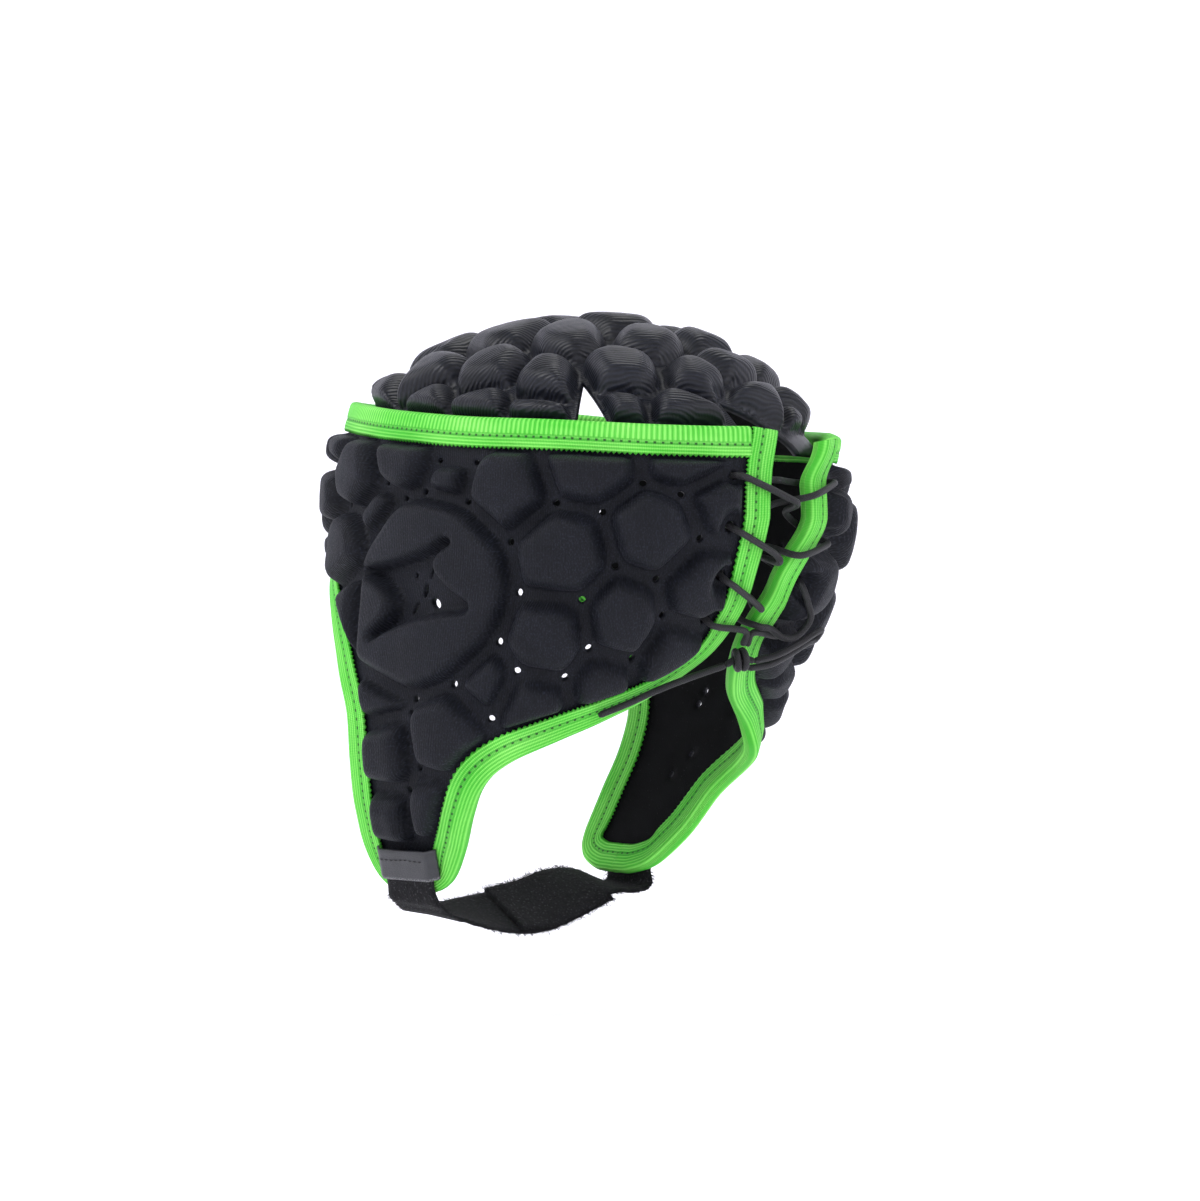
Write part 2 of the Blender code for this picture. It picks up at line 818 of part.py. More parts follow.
class Skin:
    """Collects triangles in space, with vertices shared by key."""

    def __init__(self):
        self.mesh = bmesh.new()
        self.known = {}

    def vertex(self, key, place):
        if key not in self.known:
            self.known[key] = self.mesh.verts.new(place)
        return self.known[key]

    def face(self, corners):
        if len(set(corners)) == len(corners) and not self.mesh.faces.get(corners):
            self.mesh.faces.new(corners)

    def finish(self, name):
        bmesh.ops.remove_doubles(self.mesh, verts=self.mesh.verts, dist=1e-6)
        bmesh.ops.recalc_face_normals(self.mesh, faces=self.mesh.faces)
        if self.mesh.calc_volume(signed=True) < 0.0:
            bmesh.ops.reverse_faces(self.mesh, faces=self.mesh.faces)
        made = bpy.data.meshes.new(name)
        self.mesh.to_mesh(made)
        self.mesh.free()
        made.shade_smooth()
        made.set_sharp_from_angle(angle=math.radians(40.0))
        return made


def sheet_skin(skin, place, outline, seam, holes, rings, edge_spots, inner_spots, tag):
    """Adds one moulded sheet: outer skin with pads, inner skin, and walls at edges and holes.

    Args: place maps a flat place and a height to space, outline is the closed edge, seam marks which
    of its steps are left open for the other half, rings are (loop, height) on the outer skin,
    edge_spots are loose places for both skins, inner_spots are more for the inner skin, and tag
    keeps the two halves' keys apart.
    """

    def keyed(loop, height):
        return [(spot, (round(spot.x, 6), round(spot.y, 6), height)) for spot in loop]

    def built(loops, spots):
        out, keys, faces = triangulated(loops, spots)
        vertices = []
        for spot, key in zip(out, keys):
            height = key[2] if key else SHEET
            side = 0 if abs(spot.x) < 1e-7 and tag else tag
            label = (side, round(spot.x, 6), round(spot.y, 6), height)
            vertices.append(skin.vertex(label, place(spot, height)))
        for corners in faces:
            middle = (out[corners[0]] + out[corners[1]] + out[corners[2]]) / 3.0
            if not inside(middle, outline) or any(inside(middle, hole) for hole in holes):
                continue
            skin.face([vertices[k] for k in corners])

    edge_loops = [outline] + holes
    built(
        [(keyed(loop, SHEET), True) for loop in edge_loops]
        + [(keyed(loop, SHEET + height), True) for loop, height in rings],
        keyed(edge_spots, SHEET),
    )
    built(
        [(keyed(loop, 0.0), True) for loop in edge_loops],
        keyed(edge_spots + inner_spots, 0.0),
    )
    for number, loop in enumerate(edge_loops):
        for start, end in zip(loop, loop[1:] + loop[:1]):
            if number == 0 and seam and abs(start.x) < 1e-7 and abs(end.x) < 1e-7:
                continue
            corners = []
            for spot, height in ((start, SHEET), (end, SHEET), (end, 0.0), (start, 0.0)):
                side = 0 if abs(spot.x) < 1e-7 and tag else tag
                corners.append(skin.known[(side, round(spot.x, 6), round(spot.y, 6), height)])
            skin.face(corners[:3])
            skin.face([corners[0], corners[2], corners[3]])


def eyelet_spots(side, runs):
    """Flat middles of one side's eyelets, just inside the back tape."""
    back = runs[1]
    reach = TAPE_WIDTH + 2.0 * CLEARANCE + EYELET / 2.0 + LACE_EASE

    def place(spot, out):
        return wrap_place(side, spot, out)

    spots = []
    for fall in EYELETS_LEFT if side > 0 else EYELETS_RIGHT:
        depth = flat(0.0, fall).y
        index = next(k for k in range(1, len(back)) if back[k].y >= depth)
        low, high = back[index - 1], back[index]
        edge = low.lerp(high, (depth - low.y) / (high.y - low.y))
        spot = stepped_in([low, edge, high], 1, place, reach)
        spots.append(Vector((spot.x, depth)))
    return spots


def inset_spots(runs, wide, place, reach):
    """Flat places `reach` metres in from the edge's stations, left out at the sharp corners."""
    spots = []
    for run in runs:
        for index in range(len(run)):
            spot = stepped_in(run, index, place, reach)
            if nearest_edge(spot, wide)[0] > reach * 0.62:
                spots.append(spot)
    return spots


def build_wrap(runs):
    """The wrap panel: both halves, joined at the forehead's middle."""
    top, back, face = runs
    low, high = face[-1].y, top[0].y
    seam = [Vector((0.0, low + (high - low) * k / 4.0)) for k in (1, 2, 3)]
    outline = top[:-1] + back[:-1] + face + seam
    wide = [Vector((-0.05, high))] + top[:-1] + back[:-1] + face + [Vector((-0.05, low))]
    seeds = [(flat(turn, fall), size * PAD_REACH) for turn, fall, size in WRAP_PADS]
    others = [(Vector((-place.x, place.y)), reach) for place, reach in seeds if place.x < 0.03]
    others += [(flat(turn, fall), size * PAD_REACH) for turn, fall, size in PATCH_SEEDS]
    skin = Skin()
    for side in (1, -1):

        def place(spot, out, side=side):
            return wrap_place(side, spot, out)

        eyelets = eyelet_spots(side, runs)
        keep_off = [(spot, EYELET / 2.0 + EYELET_RIM) for spot in eyelets]
        pad_loop = inset_spots(runs, wide, place, TAPE_WIDTH + TAPE_TO_PAD)
        pad_loop = [Vector((-0.05, pad_loop[0].y))] + pad_loop + [Vector((-0.05, pad_loop[-1].y))]
        rings, inner_spots = [], []
        for index, (middle, _) in enumerate(seeds):
            planes = pad_planes(seeds + others, index, pad_loop, 0.0002, keep_off)
            if planes:
                rings += pad_rings(planes, middle, WRAP_PAD)
                inner_spots.append(middle)
        rings.append((star_loop(STAR_SLOPE), WRAP_PAD))
        rings.append((star_loop(STAR_SLOPE * 0.4), WRAP_PAD * 0.66))
        rings.append((star_loop(0.0), 0.0))
        star = flat(*STAR_MIDDLE)
        holes = []
        for across, down, half_wide, half_tall, tilt in STAR_HOLES:
            middle = star + Vector((across, down)) * STAR_REACH
            holes.append(
                ring_of(middle, half_wide * STAR_REACH, half_tall * STAR_REACH, tilt, 6)
            )
        holes += [ring_of(spot, EYELET / 2.0, EYELET / 2.0, 0.0, 8) for spot in eyelets]
        for spot in junctions(seeds + others, wide, TAPE_WIDTH + 0.0025):
            clear = min((spot - eyelet).length for eyelet in eyelets) > 0.008
            if spot.x > 0.004 and spot.y < flat(0.0, 0.84).y and clear:
                holes.append(ring_of(spot, PERFORATION / 2.0, PERFORATION / 2.0, 0.0, 5, 0.25))
        edge_spots = inset_spots(runs, wide, place, TAPE_WIDTH)
        inner_spots = [spot for spot in inner_spots if nearest_edge(spot, wide)[0] > 0.013]
        sheet_skin(skin, place, outline, True, holes, rings, edge_spots, inner_spots, side)
    return add_object("wrap_panel", skin.finish("wrap_panel"), "pad")


def crown_outline():
    """The crown's edge: a rim tucked behind the wrap, with a notch cut for each row of the table."""
    edge = []

    def rim(azimuth):
        reach = wrap_top_reach(math.radians(azimuth)) + CROWN_TUCK / CROWN_ARC
        return crown_flat(azimuth, reach)

    azimuth = 0.0
    for apex, apex_reach, first, last in CROWN_NOTCHES:
        count = max(2, round((first - azimuth) / 7.5))
        edge += [rim(azimuth + (first - azimuth) * k / count) for k in range(count + 1)]
        tip = crown_flat(apex, apex_reach)
        for side, share in ((first, 0.5), (None, 1.0), (last, 0.5)):
            if side is None:
                edge.append(tip)
            else:
                edge.append(rim(side).lerp(tip, share))
        azimuth = last
    count = round((360.0 - azimuth) / 7.5)
    edge += [rim(azimuth + (360.0 - azimuth) * k / count) for k in range(count)]
    return edge


def crown_edge_loop(outline):
    """The edge that the crown's pads stay inside: the wrap's edge, and the notches."""
    loop = []
    for spot in outline:
        azimuth = math.atan2(spot.x, -spot.y)
        limit = wrap_top_reach(azimuth) * CROWN_ARC + 0.0015
        loop.append(spot.normalized() * min(limit, spot.length))
    return loop


def build_crown():
    outline = crown_outline()
    loop = crown_edge_loop(outline)
    seeds = []
    for index, (azimuth, reach, size) in enumerate(CROWN_PADS):
        seeds.append((crown_flat(azimuth, reach), size * PAD_REACH))
        if index < MIRRORED_PADS - 1:
            seeds.append((crown_flat(-azimuth, reach), size * PAD_REACH))
    rings = []
    for index, (middle, _) in enumerate(seeds):
        planes = pad_planes(seeds, index, loop, 0.0015, [])
        if planes:
            rings += pad_rings(planes, middle, CROWN_PAD, RING_STEP * 1.2)
    spots = [middle for middle, _ in seeds if nearest_edge(middle, outline)[0] > 0.006]
    skin = Skin()
    sheet_skin(skin, crown_place, outline, False, [], rings, [], spots, 0)
    return add_object("crown_panel", skin.finish("crown_panel"), "pad")


# Tape


def build_tape(name, stations, place):
    """Tape folded over an edge.

    Args: stations are rows of a flat place, its inward neighbour and the tape's half, and place maps
    (side, flat place, height) to space.
    """
    skin = Skin()
    gap, wall = TAPE_GAP, TAPE
    outline = (
        (1.0, SHEET + gap + wall),
        (0.0, SHEET + gap + wall),
        (0.0, -gap - wall),
        (1.0, -gap - wall),
        (1.0, -gap),
        (None, -gap),
        (None, SHEET + gap),
        (1.0, SHEET + gap),
    )
    rings = []
    for number, (side, spot, toward) in enumerate(stations):
        ring = []
        for corner, (reach, height) in enumerate(outline):
            distance = TAPE_WIDTH if reach == 1.0 else (-gap - wall if reach == 0.0 else -gap)
            ring.append(
                skin.vertex((number, corner), place(side, spot + toward * (distance / TAPE_WIDTH), height))
            )
        rings.append(ring)
    count = len(outline)
    for ring, after in zip(rings, rings[1:]):
        for k in range(count):
            skin.face([ring[k], ring[(k + 1) % count], after[(k + 1) % count], after[k]])
    for ring in (rings[0], rings[-1]):
        skin.face([ring[0], ring[1], ring[6], ring[7]])
        skin.face([ring[1], ring[2], ring[5], ring[6]])
        skin.face([ring[2], ring[3], ring[4], ring[5]])
    return add_object(name, skin.finish(name), "tape")


def tape_stations(side, run, first, last):
    """Rows of side, flat place and the step across the tape for stations first to last."""
    rows = []
    for index in range(first, last + 1):
        spot = run[index]
        toward = (
            stepped_in(run, index, lambda at, out: wrap_place(side, at, out), TAPE_WIDTH) - spot
        )
        rows.append((side, spot, toward))
    return rows


def build_tapes(runs):
    top, back, face = runs
    corner = len(top) - 1
    while (top[-1] - top[corner]).length < TAPE_WIDTH + TAPE + TAPE_GAP + CLEARANCE:
        corner -= 1
    left = tape_stations(1, top, 0, corner)
    right = tape_stations(-1, top, 1, corner)
    build_tape("top_binding", right[::-1] + left, wrap_place)
    left = tape_stations(1, face, 0, len(face) - 1)
    right = tape_stations(-1, face, 0, len(face) - 2)
    build_tape("face_binding", left + right[::-1], wrap_place)
    for name, side in (("nape_binding_left", 1), ("nape_binding_right", -1)):
        rows = tape_stations(side, back, 0, len(back) - 1)
        ended = rows[-1]
        shortened = ended[1].lerp(rows[-2][1], 0.12)
        rows[-1] = (ended[0], shortened, ended[2])
        build_tape(name, rows, wrap_place)


# Straps and patches


def build_band(name, rows, thickness, finish):
    """A flat band through rows of its three places across and the way out from its inner face."""
    skin = Skin()
    rings = []
    for number, (places, outward) in enumerate(rows):
        corners = list(places) + [place + outward * thickness for place in reversed(places)]
        rings.append([skin.vertex((number, k), place) for k, place in enumerate(corners)])
    for ring, after in zip(rings, rings[1:]):
        for k in range(6):
            skin.face([ring[k], ring[(k + 1) % 6], after[(k + 1) % 6], after[k]])
    for ring in (rings[0], rings[-1]):
        skin.face([ring[0], ring[1], ring[4], ring[5]])
        skin.face([ring[1], ring[2], ring[3], ring[4]])
    return add_object(name, skin.finish(name), finish)


def flap_place(side, fall, across, out):
    """A place on a flap, `across` metres from the strap's middle line and `out` metres off it."""
    middle = flat(STRAP_TURN, fall)
    step = Vector((STRAP_WIDTH / 2.0, 0.0))
    wide = (wrap_place(side, middle + step, out) - wrap_place(side, middle - step, out)).length
    return wrap_place(side, middle + step * (2.0 * across / wide), out)


def flap_row(side, fall, out):
    """The strap's three places across a flap, and the way out."""
    places = [flap_place(side, fall, STRAP_WIDTH / 2.0 * share, out) for share in (1.0, 0.0, -1.0)]
    outward = flap_place(side, fall, 0.0, out + 0.001) - places[1]
    return places, outward.normalized()


def hanging_rows(route, inner):
    """Rows of the strap where it hangs free, `inner` metres inside the route's own face."""
    places, leans = [], []
    for x, y, z, lean in route:
        places.append(Vector((x * HEAD_HALF_WIDTH, y * HEAD_FRONT, -z * (CROWN_RISE + FLAP_DROP))))
        leans.append(Vector((lean, 0.0)))
    places, leans = smooth_curve(places, 2), smooth_curve(leans, 2)
    rows = []
    for index, place in enumerate(places):
        along = places[min(index + 1, len(places) - 1)] - places[max(index - 1, 0)]
        lean = math.radians(leans[index].x)
        across = Vector((0.0, -math.sin(lean), math.cos(lean)))
        inward_way = along.cross(across).normalized()
        across = inward_way.cross(along).normalized() * (STRAP_WIDTH / 2.0)
        middle = place + inward_way * inner
        rows.append(([middle - across, middle, middle + across], -inward_way))
    return rows


def build_straps():
    """Both halves of the chin strap, and the patches over their ends."""
    on_flap = SHEET + TAPE + TAPE_GAP + CLEARANCE
    for name, side, route, inner in (
        ("chin_strap_left", 1, STRAP_ROUTE[:STRAP_END_LEFT], 0.0),
        ("chin_strap_right", -1, STRAP_ROUTE[STRAP_START_RIGHT:], STRAP + CLEARANCE),
    ):
        rows = [flap_row(side, fall, on_flap) for fall in STRAP_FALLS]
        hanging = hanging_rows(route, inner)
        rows += hanging if side > 0 else hanging[::-1]
        build_band(name, rows, STRAP, "strap")
    for name, side in (("strap_patch_left", 1), ("strap_patch_right", -1)):
        build_patch(name, side, on_flap)


def build_patch(name, side, on_flap):
    """The patch sewn over a strap's end: raised over the strap, down beside it."""
    skin = Skin()
    columns = [
        (share * STRAP_WIDTH / 2.0, on_flap + (STRAP + CLEARANCE) * high)
        for share, high in PATCH_COLUMNS
    ]
    for row, fall in enumerate(PATCH_FALLS):
        for column, (across, out) in enumerate(columns):
            for level in (0, 1):
                place = flap_place(side, fall, across, out + PATCH * level)
                skin.vertex((row, column, level), place)
    last_row, last_column = len(PATCH_FALLS) - 1, len(columns) - 1
    known = skin.known
    for row in range(last_row):
        for column in range(last_column):
            for level in (0, 1):
                corners = ((row, column), (row, column + 1), (row + 1, column + 1), (row + 1, column))
                skin.face([known[corner + (level,)] for corner in corners])
    border = [(0, k) for k in range(last_column)] + [(k, last_column) for k in range(last_row)]
    border += [(last_row, k) for k in range(last_column, 0, -1)]
    border += [(k, 0) for k in range(last_row, 0, -1)]
    for start, end in zip(border, border[1:] + border[:1]):
        skin.face([known[start + (0,)], known[end + (0,)], known[end + (1,)], known[start + (1,)]])
    return add_object(name, skin.finish(name), "patch")


# Lacing


def lace_levels(over):
    """Rows of distance from an eyelet's middle and height, for a strand over or under the tape."""
    high = SHEET + TAPE + TAPE_GAP + CLEARANCE + LACE / 2.0 + LACE_EASE
    low = -TAPE - TAPE_GAP - CLEARANCE - LACE / 2.0 - LACE_EASE
    rim = EYELET / 2.0 + 2.0 * CLEARANCE
    clear = rim + TAPE_WIDTH + TAPE + TAPE_GAP + CLEARANCE + LACE / 2.0 + LACE_CLEAR
    if over:
        return [(0.0, SHEET / 2.0), (0.2 * rim, 0.8 * high), (rim, high), (clear, high)]
    return [(0.0, SHEET / 2.0), (0.2 * rim, 0.75 * low), (rim, low), (clear, low)]


def strand(side, start, end, start_over, end_over, crossing):
    """Places of one strand from an eyelet to one on the other side.

    Args: start and end are flat places, each on its own side, the next two say whether the strand
    runs over or under the tape there, and crossing is its height halfway.
    """
    places, levels = [], []
    ends = ((side, start, end, start_over), (-side, end, start, end_over))
    for at_side, here, there, over in ends:
        way = (Vector((2.0 * HALF_GIRTH - there.x, there.y)) - here).normalized()
        rows = lace_levels(over)
        reach = rows[-1][0] / way.x
        run = wrap_place(at_side, here + way * reach, 0.0) - wrap_place(at_side, here, 0.0)
        stretch = reach / run.length
        spots = [here + way * (distance / way.x * stretch) for distance, _ in rows]
        places.append([wrap_place(at_side, spot, row[1]) for spot, row in zip(spots, rows)])
        levels.append(rows[-1][1])
    near, far = places[0][-1], places[1][-1]
    middle = flat(1.0, 0.0) + Vector((0.0, (start.y + end.y) / 2.0))
    outward = wrap_place(1, middle, 1.0) - wrap_place(1, middle, 0.0)
    rise = crossing - (levels[0] + levels[1]) / 2.0
    return places[0] + [(near + far) / 2.0 + outward * rise] + places[1][::-1]


def towards(knot, place):
    """Where a strand from the knot's middle to `place` comes out of the knot."""
    return knot.lerp(place, KNOT_REACH / (place - knot).length)


def lace_places(runs):
    """The lace's places from the knot up through the eyelets and back down to the knot."""
    left, right = eyelet_spots(1, runs), eyelet_spots(-1, runs)
    knot = wrap_place(1, flat(*KNOT_SPOT), KNOT_OUT)
    down_right = strand(-1, right[3], left[3], True, True, 0.0)[:4]
    places = [towards(knot, down_right[3])]
    places += down_right[::-1]
    places += strand(-1, right[3], left[2], False, True, CROSS_OVER)[1:]
    places += strand(1, left[2], right[1], False, True, CROSS_UNDER)[1:]
    places += strand(-1, right[1], left[0], False, True, CROSS_OVER)[1:]
    places += strand(1, left[0], right[0], False, False, -LACE)[1:]
    places += strand(-1, right[0], left[1], True, False, CROSS_UNDER)[1:]
    places += strand(1, left[1], right[2], True, False, CROSS_OVER)[1:]
    last = strand(-1, right[2], left[3], True, False, CROSS_UNDER)
    places += last[1:2]
    for across, down, out in LACE_BOW:
        spot = right[2] - Vector((across, -down)) * BOW_REACH
        places.append(wrap_place(-1, spot, out * BOW_REACH))
    places += last[5:]
    down_left = strand(1, left[3], right[3], True, True, 0.0)[:4]
    places += down_left[1:]
    places.append(towards(knot, down_left[3]))
    return places


def cord(name, places):
    """A round cord through `places`, as a curve with filled ends."""
    curve = bpy.data.curves.new(name, "CURVE")
    curve.dimensions = "3D"
    curve.bevel_depth = LACE / 2.0
    curve.bevel_resolution = 2
    curve.use_fill_caps = True
    spline = curve.splines.new("POLY")
    spline.points.add(len(places) - 1)
    for point, place in zip(spline.points, places):
        point.co = (*place, 1.0)
    return add_object(name, curve, "cord")


def tail_places(route, folded):
    """Places of a free end, from rows of side, turn, fall and height as a share of KNOT_OUT.

    A folded tail comes back to the knot at its last place too.
    """
    places = [wrap_place(side, flat(turn, fall), out * KNOT_OUT) for side, turn, fall, out in route]
    knot = wrap_place(1, flat(*KNOT_SPOT), KNOT_OUT)
    places[0] = towards(knot, places[0])
    if folded:
        places[-1] = towards(knot, places[-1])
    return evenly(smooth_curve(places), LACE * 2.2)


def build_lacing(runs):
    cord("lace", lace_places(runs))
    cord("lace_tail_left", tail_places(TAIL_LEFT, False))
    cord("lace_tail_right", tail_places(TAIL_RIGHT, True))
    blob = bmesh.new()
    bmesh.ops.create_icosphere(blob, subdivisions=2, radius=KNOT_WIDTH / 2.0)
    knot = wrap_place(1, flat(*KNOT_SPOT), KNOT_OUT)
    for corner in blob.verts:
        corner.co = Vector((corner.co.x, corner.co.y * 0.8, corner.co.z * 1.1)) + knot
    made = bpy.data.meshes.new("lace_knot")
    blob.to_mesh(made)
    blob.free()
    made.shade_smooth()
    add_object("lace_knot", made, "cord")


def main():
    clear_scene()
    runs = wrap_outline()
    build_wrap(runs)
    build_crown()
    build_tapes(runs)
    build_straps()
    build_lacing(runs)


PARTS = bpy.data.collections.new("rugby_scrum_cap")
bpy.context.scene.collection.children.link(PARTS)
main()
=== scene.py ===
"""Rugby scrum cap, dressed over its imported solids.

Two moulded pad sheets in black knit, bound in toothed elastic tape, laced at the back and held
under the chin by a hook-and-loop strap. The head form, the flat patterns and the routes repeat the
values of the part's source, so each piece lies where its solid does.
"""

from __future__ import annotations
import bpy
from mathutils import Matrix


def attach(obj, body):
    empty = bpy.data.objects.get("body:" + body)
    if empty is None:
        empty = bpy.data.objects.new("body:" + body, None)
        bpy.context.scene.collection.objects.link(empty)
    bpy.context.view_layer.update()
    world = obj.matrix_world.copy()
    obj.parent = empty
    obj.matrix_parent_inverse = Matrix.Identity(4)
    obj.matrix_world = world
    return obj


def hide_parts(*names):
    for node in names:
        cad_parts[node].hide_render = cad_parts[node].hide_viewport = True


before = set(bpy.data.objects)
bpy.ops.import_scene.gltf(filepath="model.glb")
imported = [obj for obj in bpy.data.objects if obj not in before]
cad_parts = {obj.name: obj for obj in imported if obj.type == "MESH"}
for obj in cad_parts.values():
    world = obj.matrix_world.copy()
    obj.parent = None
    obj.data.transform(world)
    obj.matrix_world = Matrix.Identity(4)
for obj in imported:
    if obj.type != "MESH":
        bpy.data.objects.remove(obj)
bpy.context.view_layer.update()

import logging
import math
from dataclasses import dataclass, field
from enum import Enum
from typing import Callable, Sequence

import bmesh
import bpy
import numpy as np
from mathutils import Vector
from mathutils.geometry import delaunay_2d_cdt

LOG = logging.getLogger("scrum_cap")
Array = np.ndarray
Place = Callable[[Array, Array], Array]


class Side(Enum):
    """The wearer's side that a piece is on."""

    LEFT = 1
    RIGHT = -1


class Knit(Enum):
    """The cloths of the pad sheets."""

    FINE = "fine"
    RIBBED = "ribbed"
    LINING = "lining"


# Sizes


@dataclass(frozen=True)
class Sizes:
    """Sizes that several pieces share, in metres."""

    head_half_width: float = 0.081
    head_front: float = 0.104
    head_back: float = 0.101
    crown_rise: float = 0.068
    flap_drop: float = 0.142
    corner_stand: float = 0.010
    wrap_wall: float = 0.22
    crown_square: float = 0.08
    crown_lean: float = 0.34
    crown_lean_at: float = 43.0
    sheet: float = 0.0026
    crown_tuck: float = 0.0090
    pad_reach: float = 0.0160
    valley: float = 0.0050
    small_pad: float = 0.0090
    least_pad: float = 0.0018
    tape: float = 0.0010
    tape_width: float = 0.0095
    tape_gap: float = 0.0010
    tape_to_pad: float = 0.0014
    clearance: float = 0.0007
    station: float = 0.0122

    @property
    def crown_arc(self) -> float:
        """Length over the crown from its middle to the girth line."""
        sides = (self.head_half_width**2 + self.head_front**2) / 2.0
        return math.pi / 2.0 * math.sqrt((self.crown_rise**2 + sides) / 2.0)

    @property
    def on_tape(self) -> float:
        """Height of what lies on the tape, over the sheet's inner face."""
        return self.sheet + self.tape + self.tape_gap + self.clearance


# fall, middle, front, back, width, square
SECTIONS = np.array((
    (0.000, 0.000, 1.000, 1.000, 1.000, 2.0),
    (0.155, -0.010, 1.010, 0.891, 1.000, 2.1),
    (0.331, -0.058, 1.048, 0.693, 1.000, 2.3),
    (0.493, -0.115, 1.096, 0.485, 0.988, 2.6),
    (0.655, -0.173, 1.135, 0.396, 0.932, 2.6),
    (0.824, -0.231, 1.115, 0.337, 0.815, 2.6),
    (1.000, -0.308, 1.058, 0.257, 0.667, 2.6),
))
TOP_EDGE = (
    (0.000, -0.455), (0.200, -0.450), (0.417, -0.382), (0.557, -0.342),
    (0.681, -0.322), (0.796, -0.302), (0.880, -0.295), (0.970, -0.293),
)
BACK_EDGE = (
    (0.970, -0.293), (0.962, -0.180), (0.956, -0.050), (0.957, 0.100), (0.970, 0.240),
    (0.954, 0.345), (0.880, 0.444), (0.790, 0.517), (0.716, 0.573), (0.656, 0.627),
    (0.622, 0.690), (0.604, 0.780), (0.590, 0.880), (0.566, 0.960), (0.520, 0.995),
    (0.480, 1.000),
)
FACE_EDGE = (
    (0.480, 1.000), (0.430, 0.990), (0.392, 0.950), (0.378, 0.880), (0.381, 0.770),
    (0.390, 0.650), (0.386, 0.520), (0.358, 0.420), (0.312, 0.310), (0.262, 0.225),
    (0.200, 0.160), (0.100, 0.112), (0.000, 0.100),
)
# turn, fall, size
WRAP_PADS = (
    (0.055, -0.300, 0.94), (0.158, -0.300, 0.94), (0.258, -0.300, 0.88),
    (0.050, -0.095, 0.94), (0.143, -0.090, 0.94), (0.235, -0.086, 0.94),
    (0.346, -0.160, 1.00), (0.455, -0.225, 0.94), (0.402, -0.020, 0.50),
    (0.228, 0.082, 0.62), (0.315, 0.080, 0.94), (0.352, 0.240, 0.81),
    (0.545, -0.245, 0.38), (0.541, -0.130, 0.44), (0.504, 0.198, 2.31),
    (0.625, -0.095, 1.00), (0.730, -0.165, 1.06), (0.701, 0.100, 1.03),
    (0.810, 0.040, 1.03), (0.847, -0.185, 0.88), (0.888, -0.035, 0.81),
    (0.782, 0.252, 1.03), (0.872, 0.165, 0.94), (0.691, 0.308, 0.97),
    (0.768, 0.420, 0.88), (0.858, 0.330, 0.81), (0.683, 0.480, 0.81),
    (0.618, 0.425, 0.50), (0.455, 0.500, 0.50), (0.466, 0.625, 0.94),
    (0.565, 0.570, 0.94), (0.460, 0.775, 0.81), (0.545, 0.755, 0.81),
)
EAR_PAD = 14
PATCH_SEEDS = ((0.455, 0.935, 0.58), (0.535, 0.935, 0.58))
# tip across, tip down, curve across, curve down
STAR = (
    (0.877, 0.217, 0.235, -0.245),
    (0.510, -0.620, -0.077, -0.375),
    (-1.013, -0.233, -0.325, 0.125),
    (-0.657, 0.597, 0.030, 0.325),
)
# across, down, half width, half height, tilt
STAR_HOLES = (
    (-0.190, -0.185, 0.033, 0.033, 0.0),
    (0.085, -0.205, 0.022, 0.070, 12.0),
    (0.010, 0.003, 0.045, 0.097, 4.0),
    (0.213, 0.163, 0.093, 0.057, 32.0),
    (-0.115, 0.225, 0.033, 0.085, 36.0),
)
# azimuth, reach, size
CROWN_PADS = (
    (51.8, 0.560, 0.81), (67.7, 0.470, 0.94), (78.0, 0.600, 0.69), (98.4, 0.465, 0.94),
    (102.4, 0.610, 0.75), (120.0, 0.515, 0.88), (118.5, 0.650, 0.69), (124.5, 0.285, 1.00),
    (145.0, 0.480, 0.94), (142.5, 0.650, 0.69), (157.0, 0.655, 0.75), (75.0, 0.260, 1.00),
    (33.0, 0.350, 1.00), (24.0, 0.500, 0.75), (160.0, 0.315, 0.88), (166.5, 0.515, 0.81),
    (0.0, 0.130, 1.00), (180.0, 0.110, 0.88), (0.0, 0.400, 0.88), (182.0, 0.450, 0.69),
    (181.0, 0.625, 0.81), (194.5, 0.700, 0.60),
)
MIRRORED_PADS = 16
# apex azimuth, apex reach, rim from, rim to
CROWN_NOTCHES = (
    (40.0, 0.380, 31.0, 43.0), (132.0, 0.500, 130.0, 141.0), (170.0, 0.590, 172.5, 189.0),
    (228.0, 0.500, 219.0, 230.0), (312.0, 0.340, 300.0, 325.0),
)
# side, turn, fall, turn spread, fall spread, turn shift, fall shift, lift
DRAPE = (
    (1, 0.970, -0.330, 0.100, 0.190, 0.000, 0.000, 0.20),
    (-1, 0.950, -0.330, 0.140, 0.230, -0.040, 0.030, 0.44),
    (-1, 0.980, 0.110, 0.070, 0.110, 0.030, 0.000, 0.15),
    (-1, 0.680, 0.640, 0.115, 0.170, 0.034, 0.008, 0.32),
    (-1, 0.480, 1.000, 0.180, 0.160, 0.000, -0.022, 0.00),
)
EYELETS = {Side.LEFT: (-0.135, 0.025, 0.145, 0.255), Side.RIGHT: (-0.122, 0.051, 0.158, 0.285)}
KNOT_SPOT = (0.996, 0.326)
LACE_BOW = (
    (0.15, 0.22, 0.48), (0.30, 0.42, 0.64), (0.24, 0.70, 0.64), (-0.10, 0.78, 0.56),
    (-0.45, 0.72, 0.38), (-0.84, 0.70, 0.34), (-1.04, 0.78, -0.08),
)
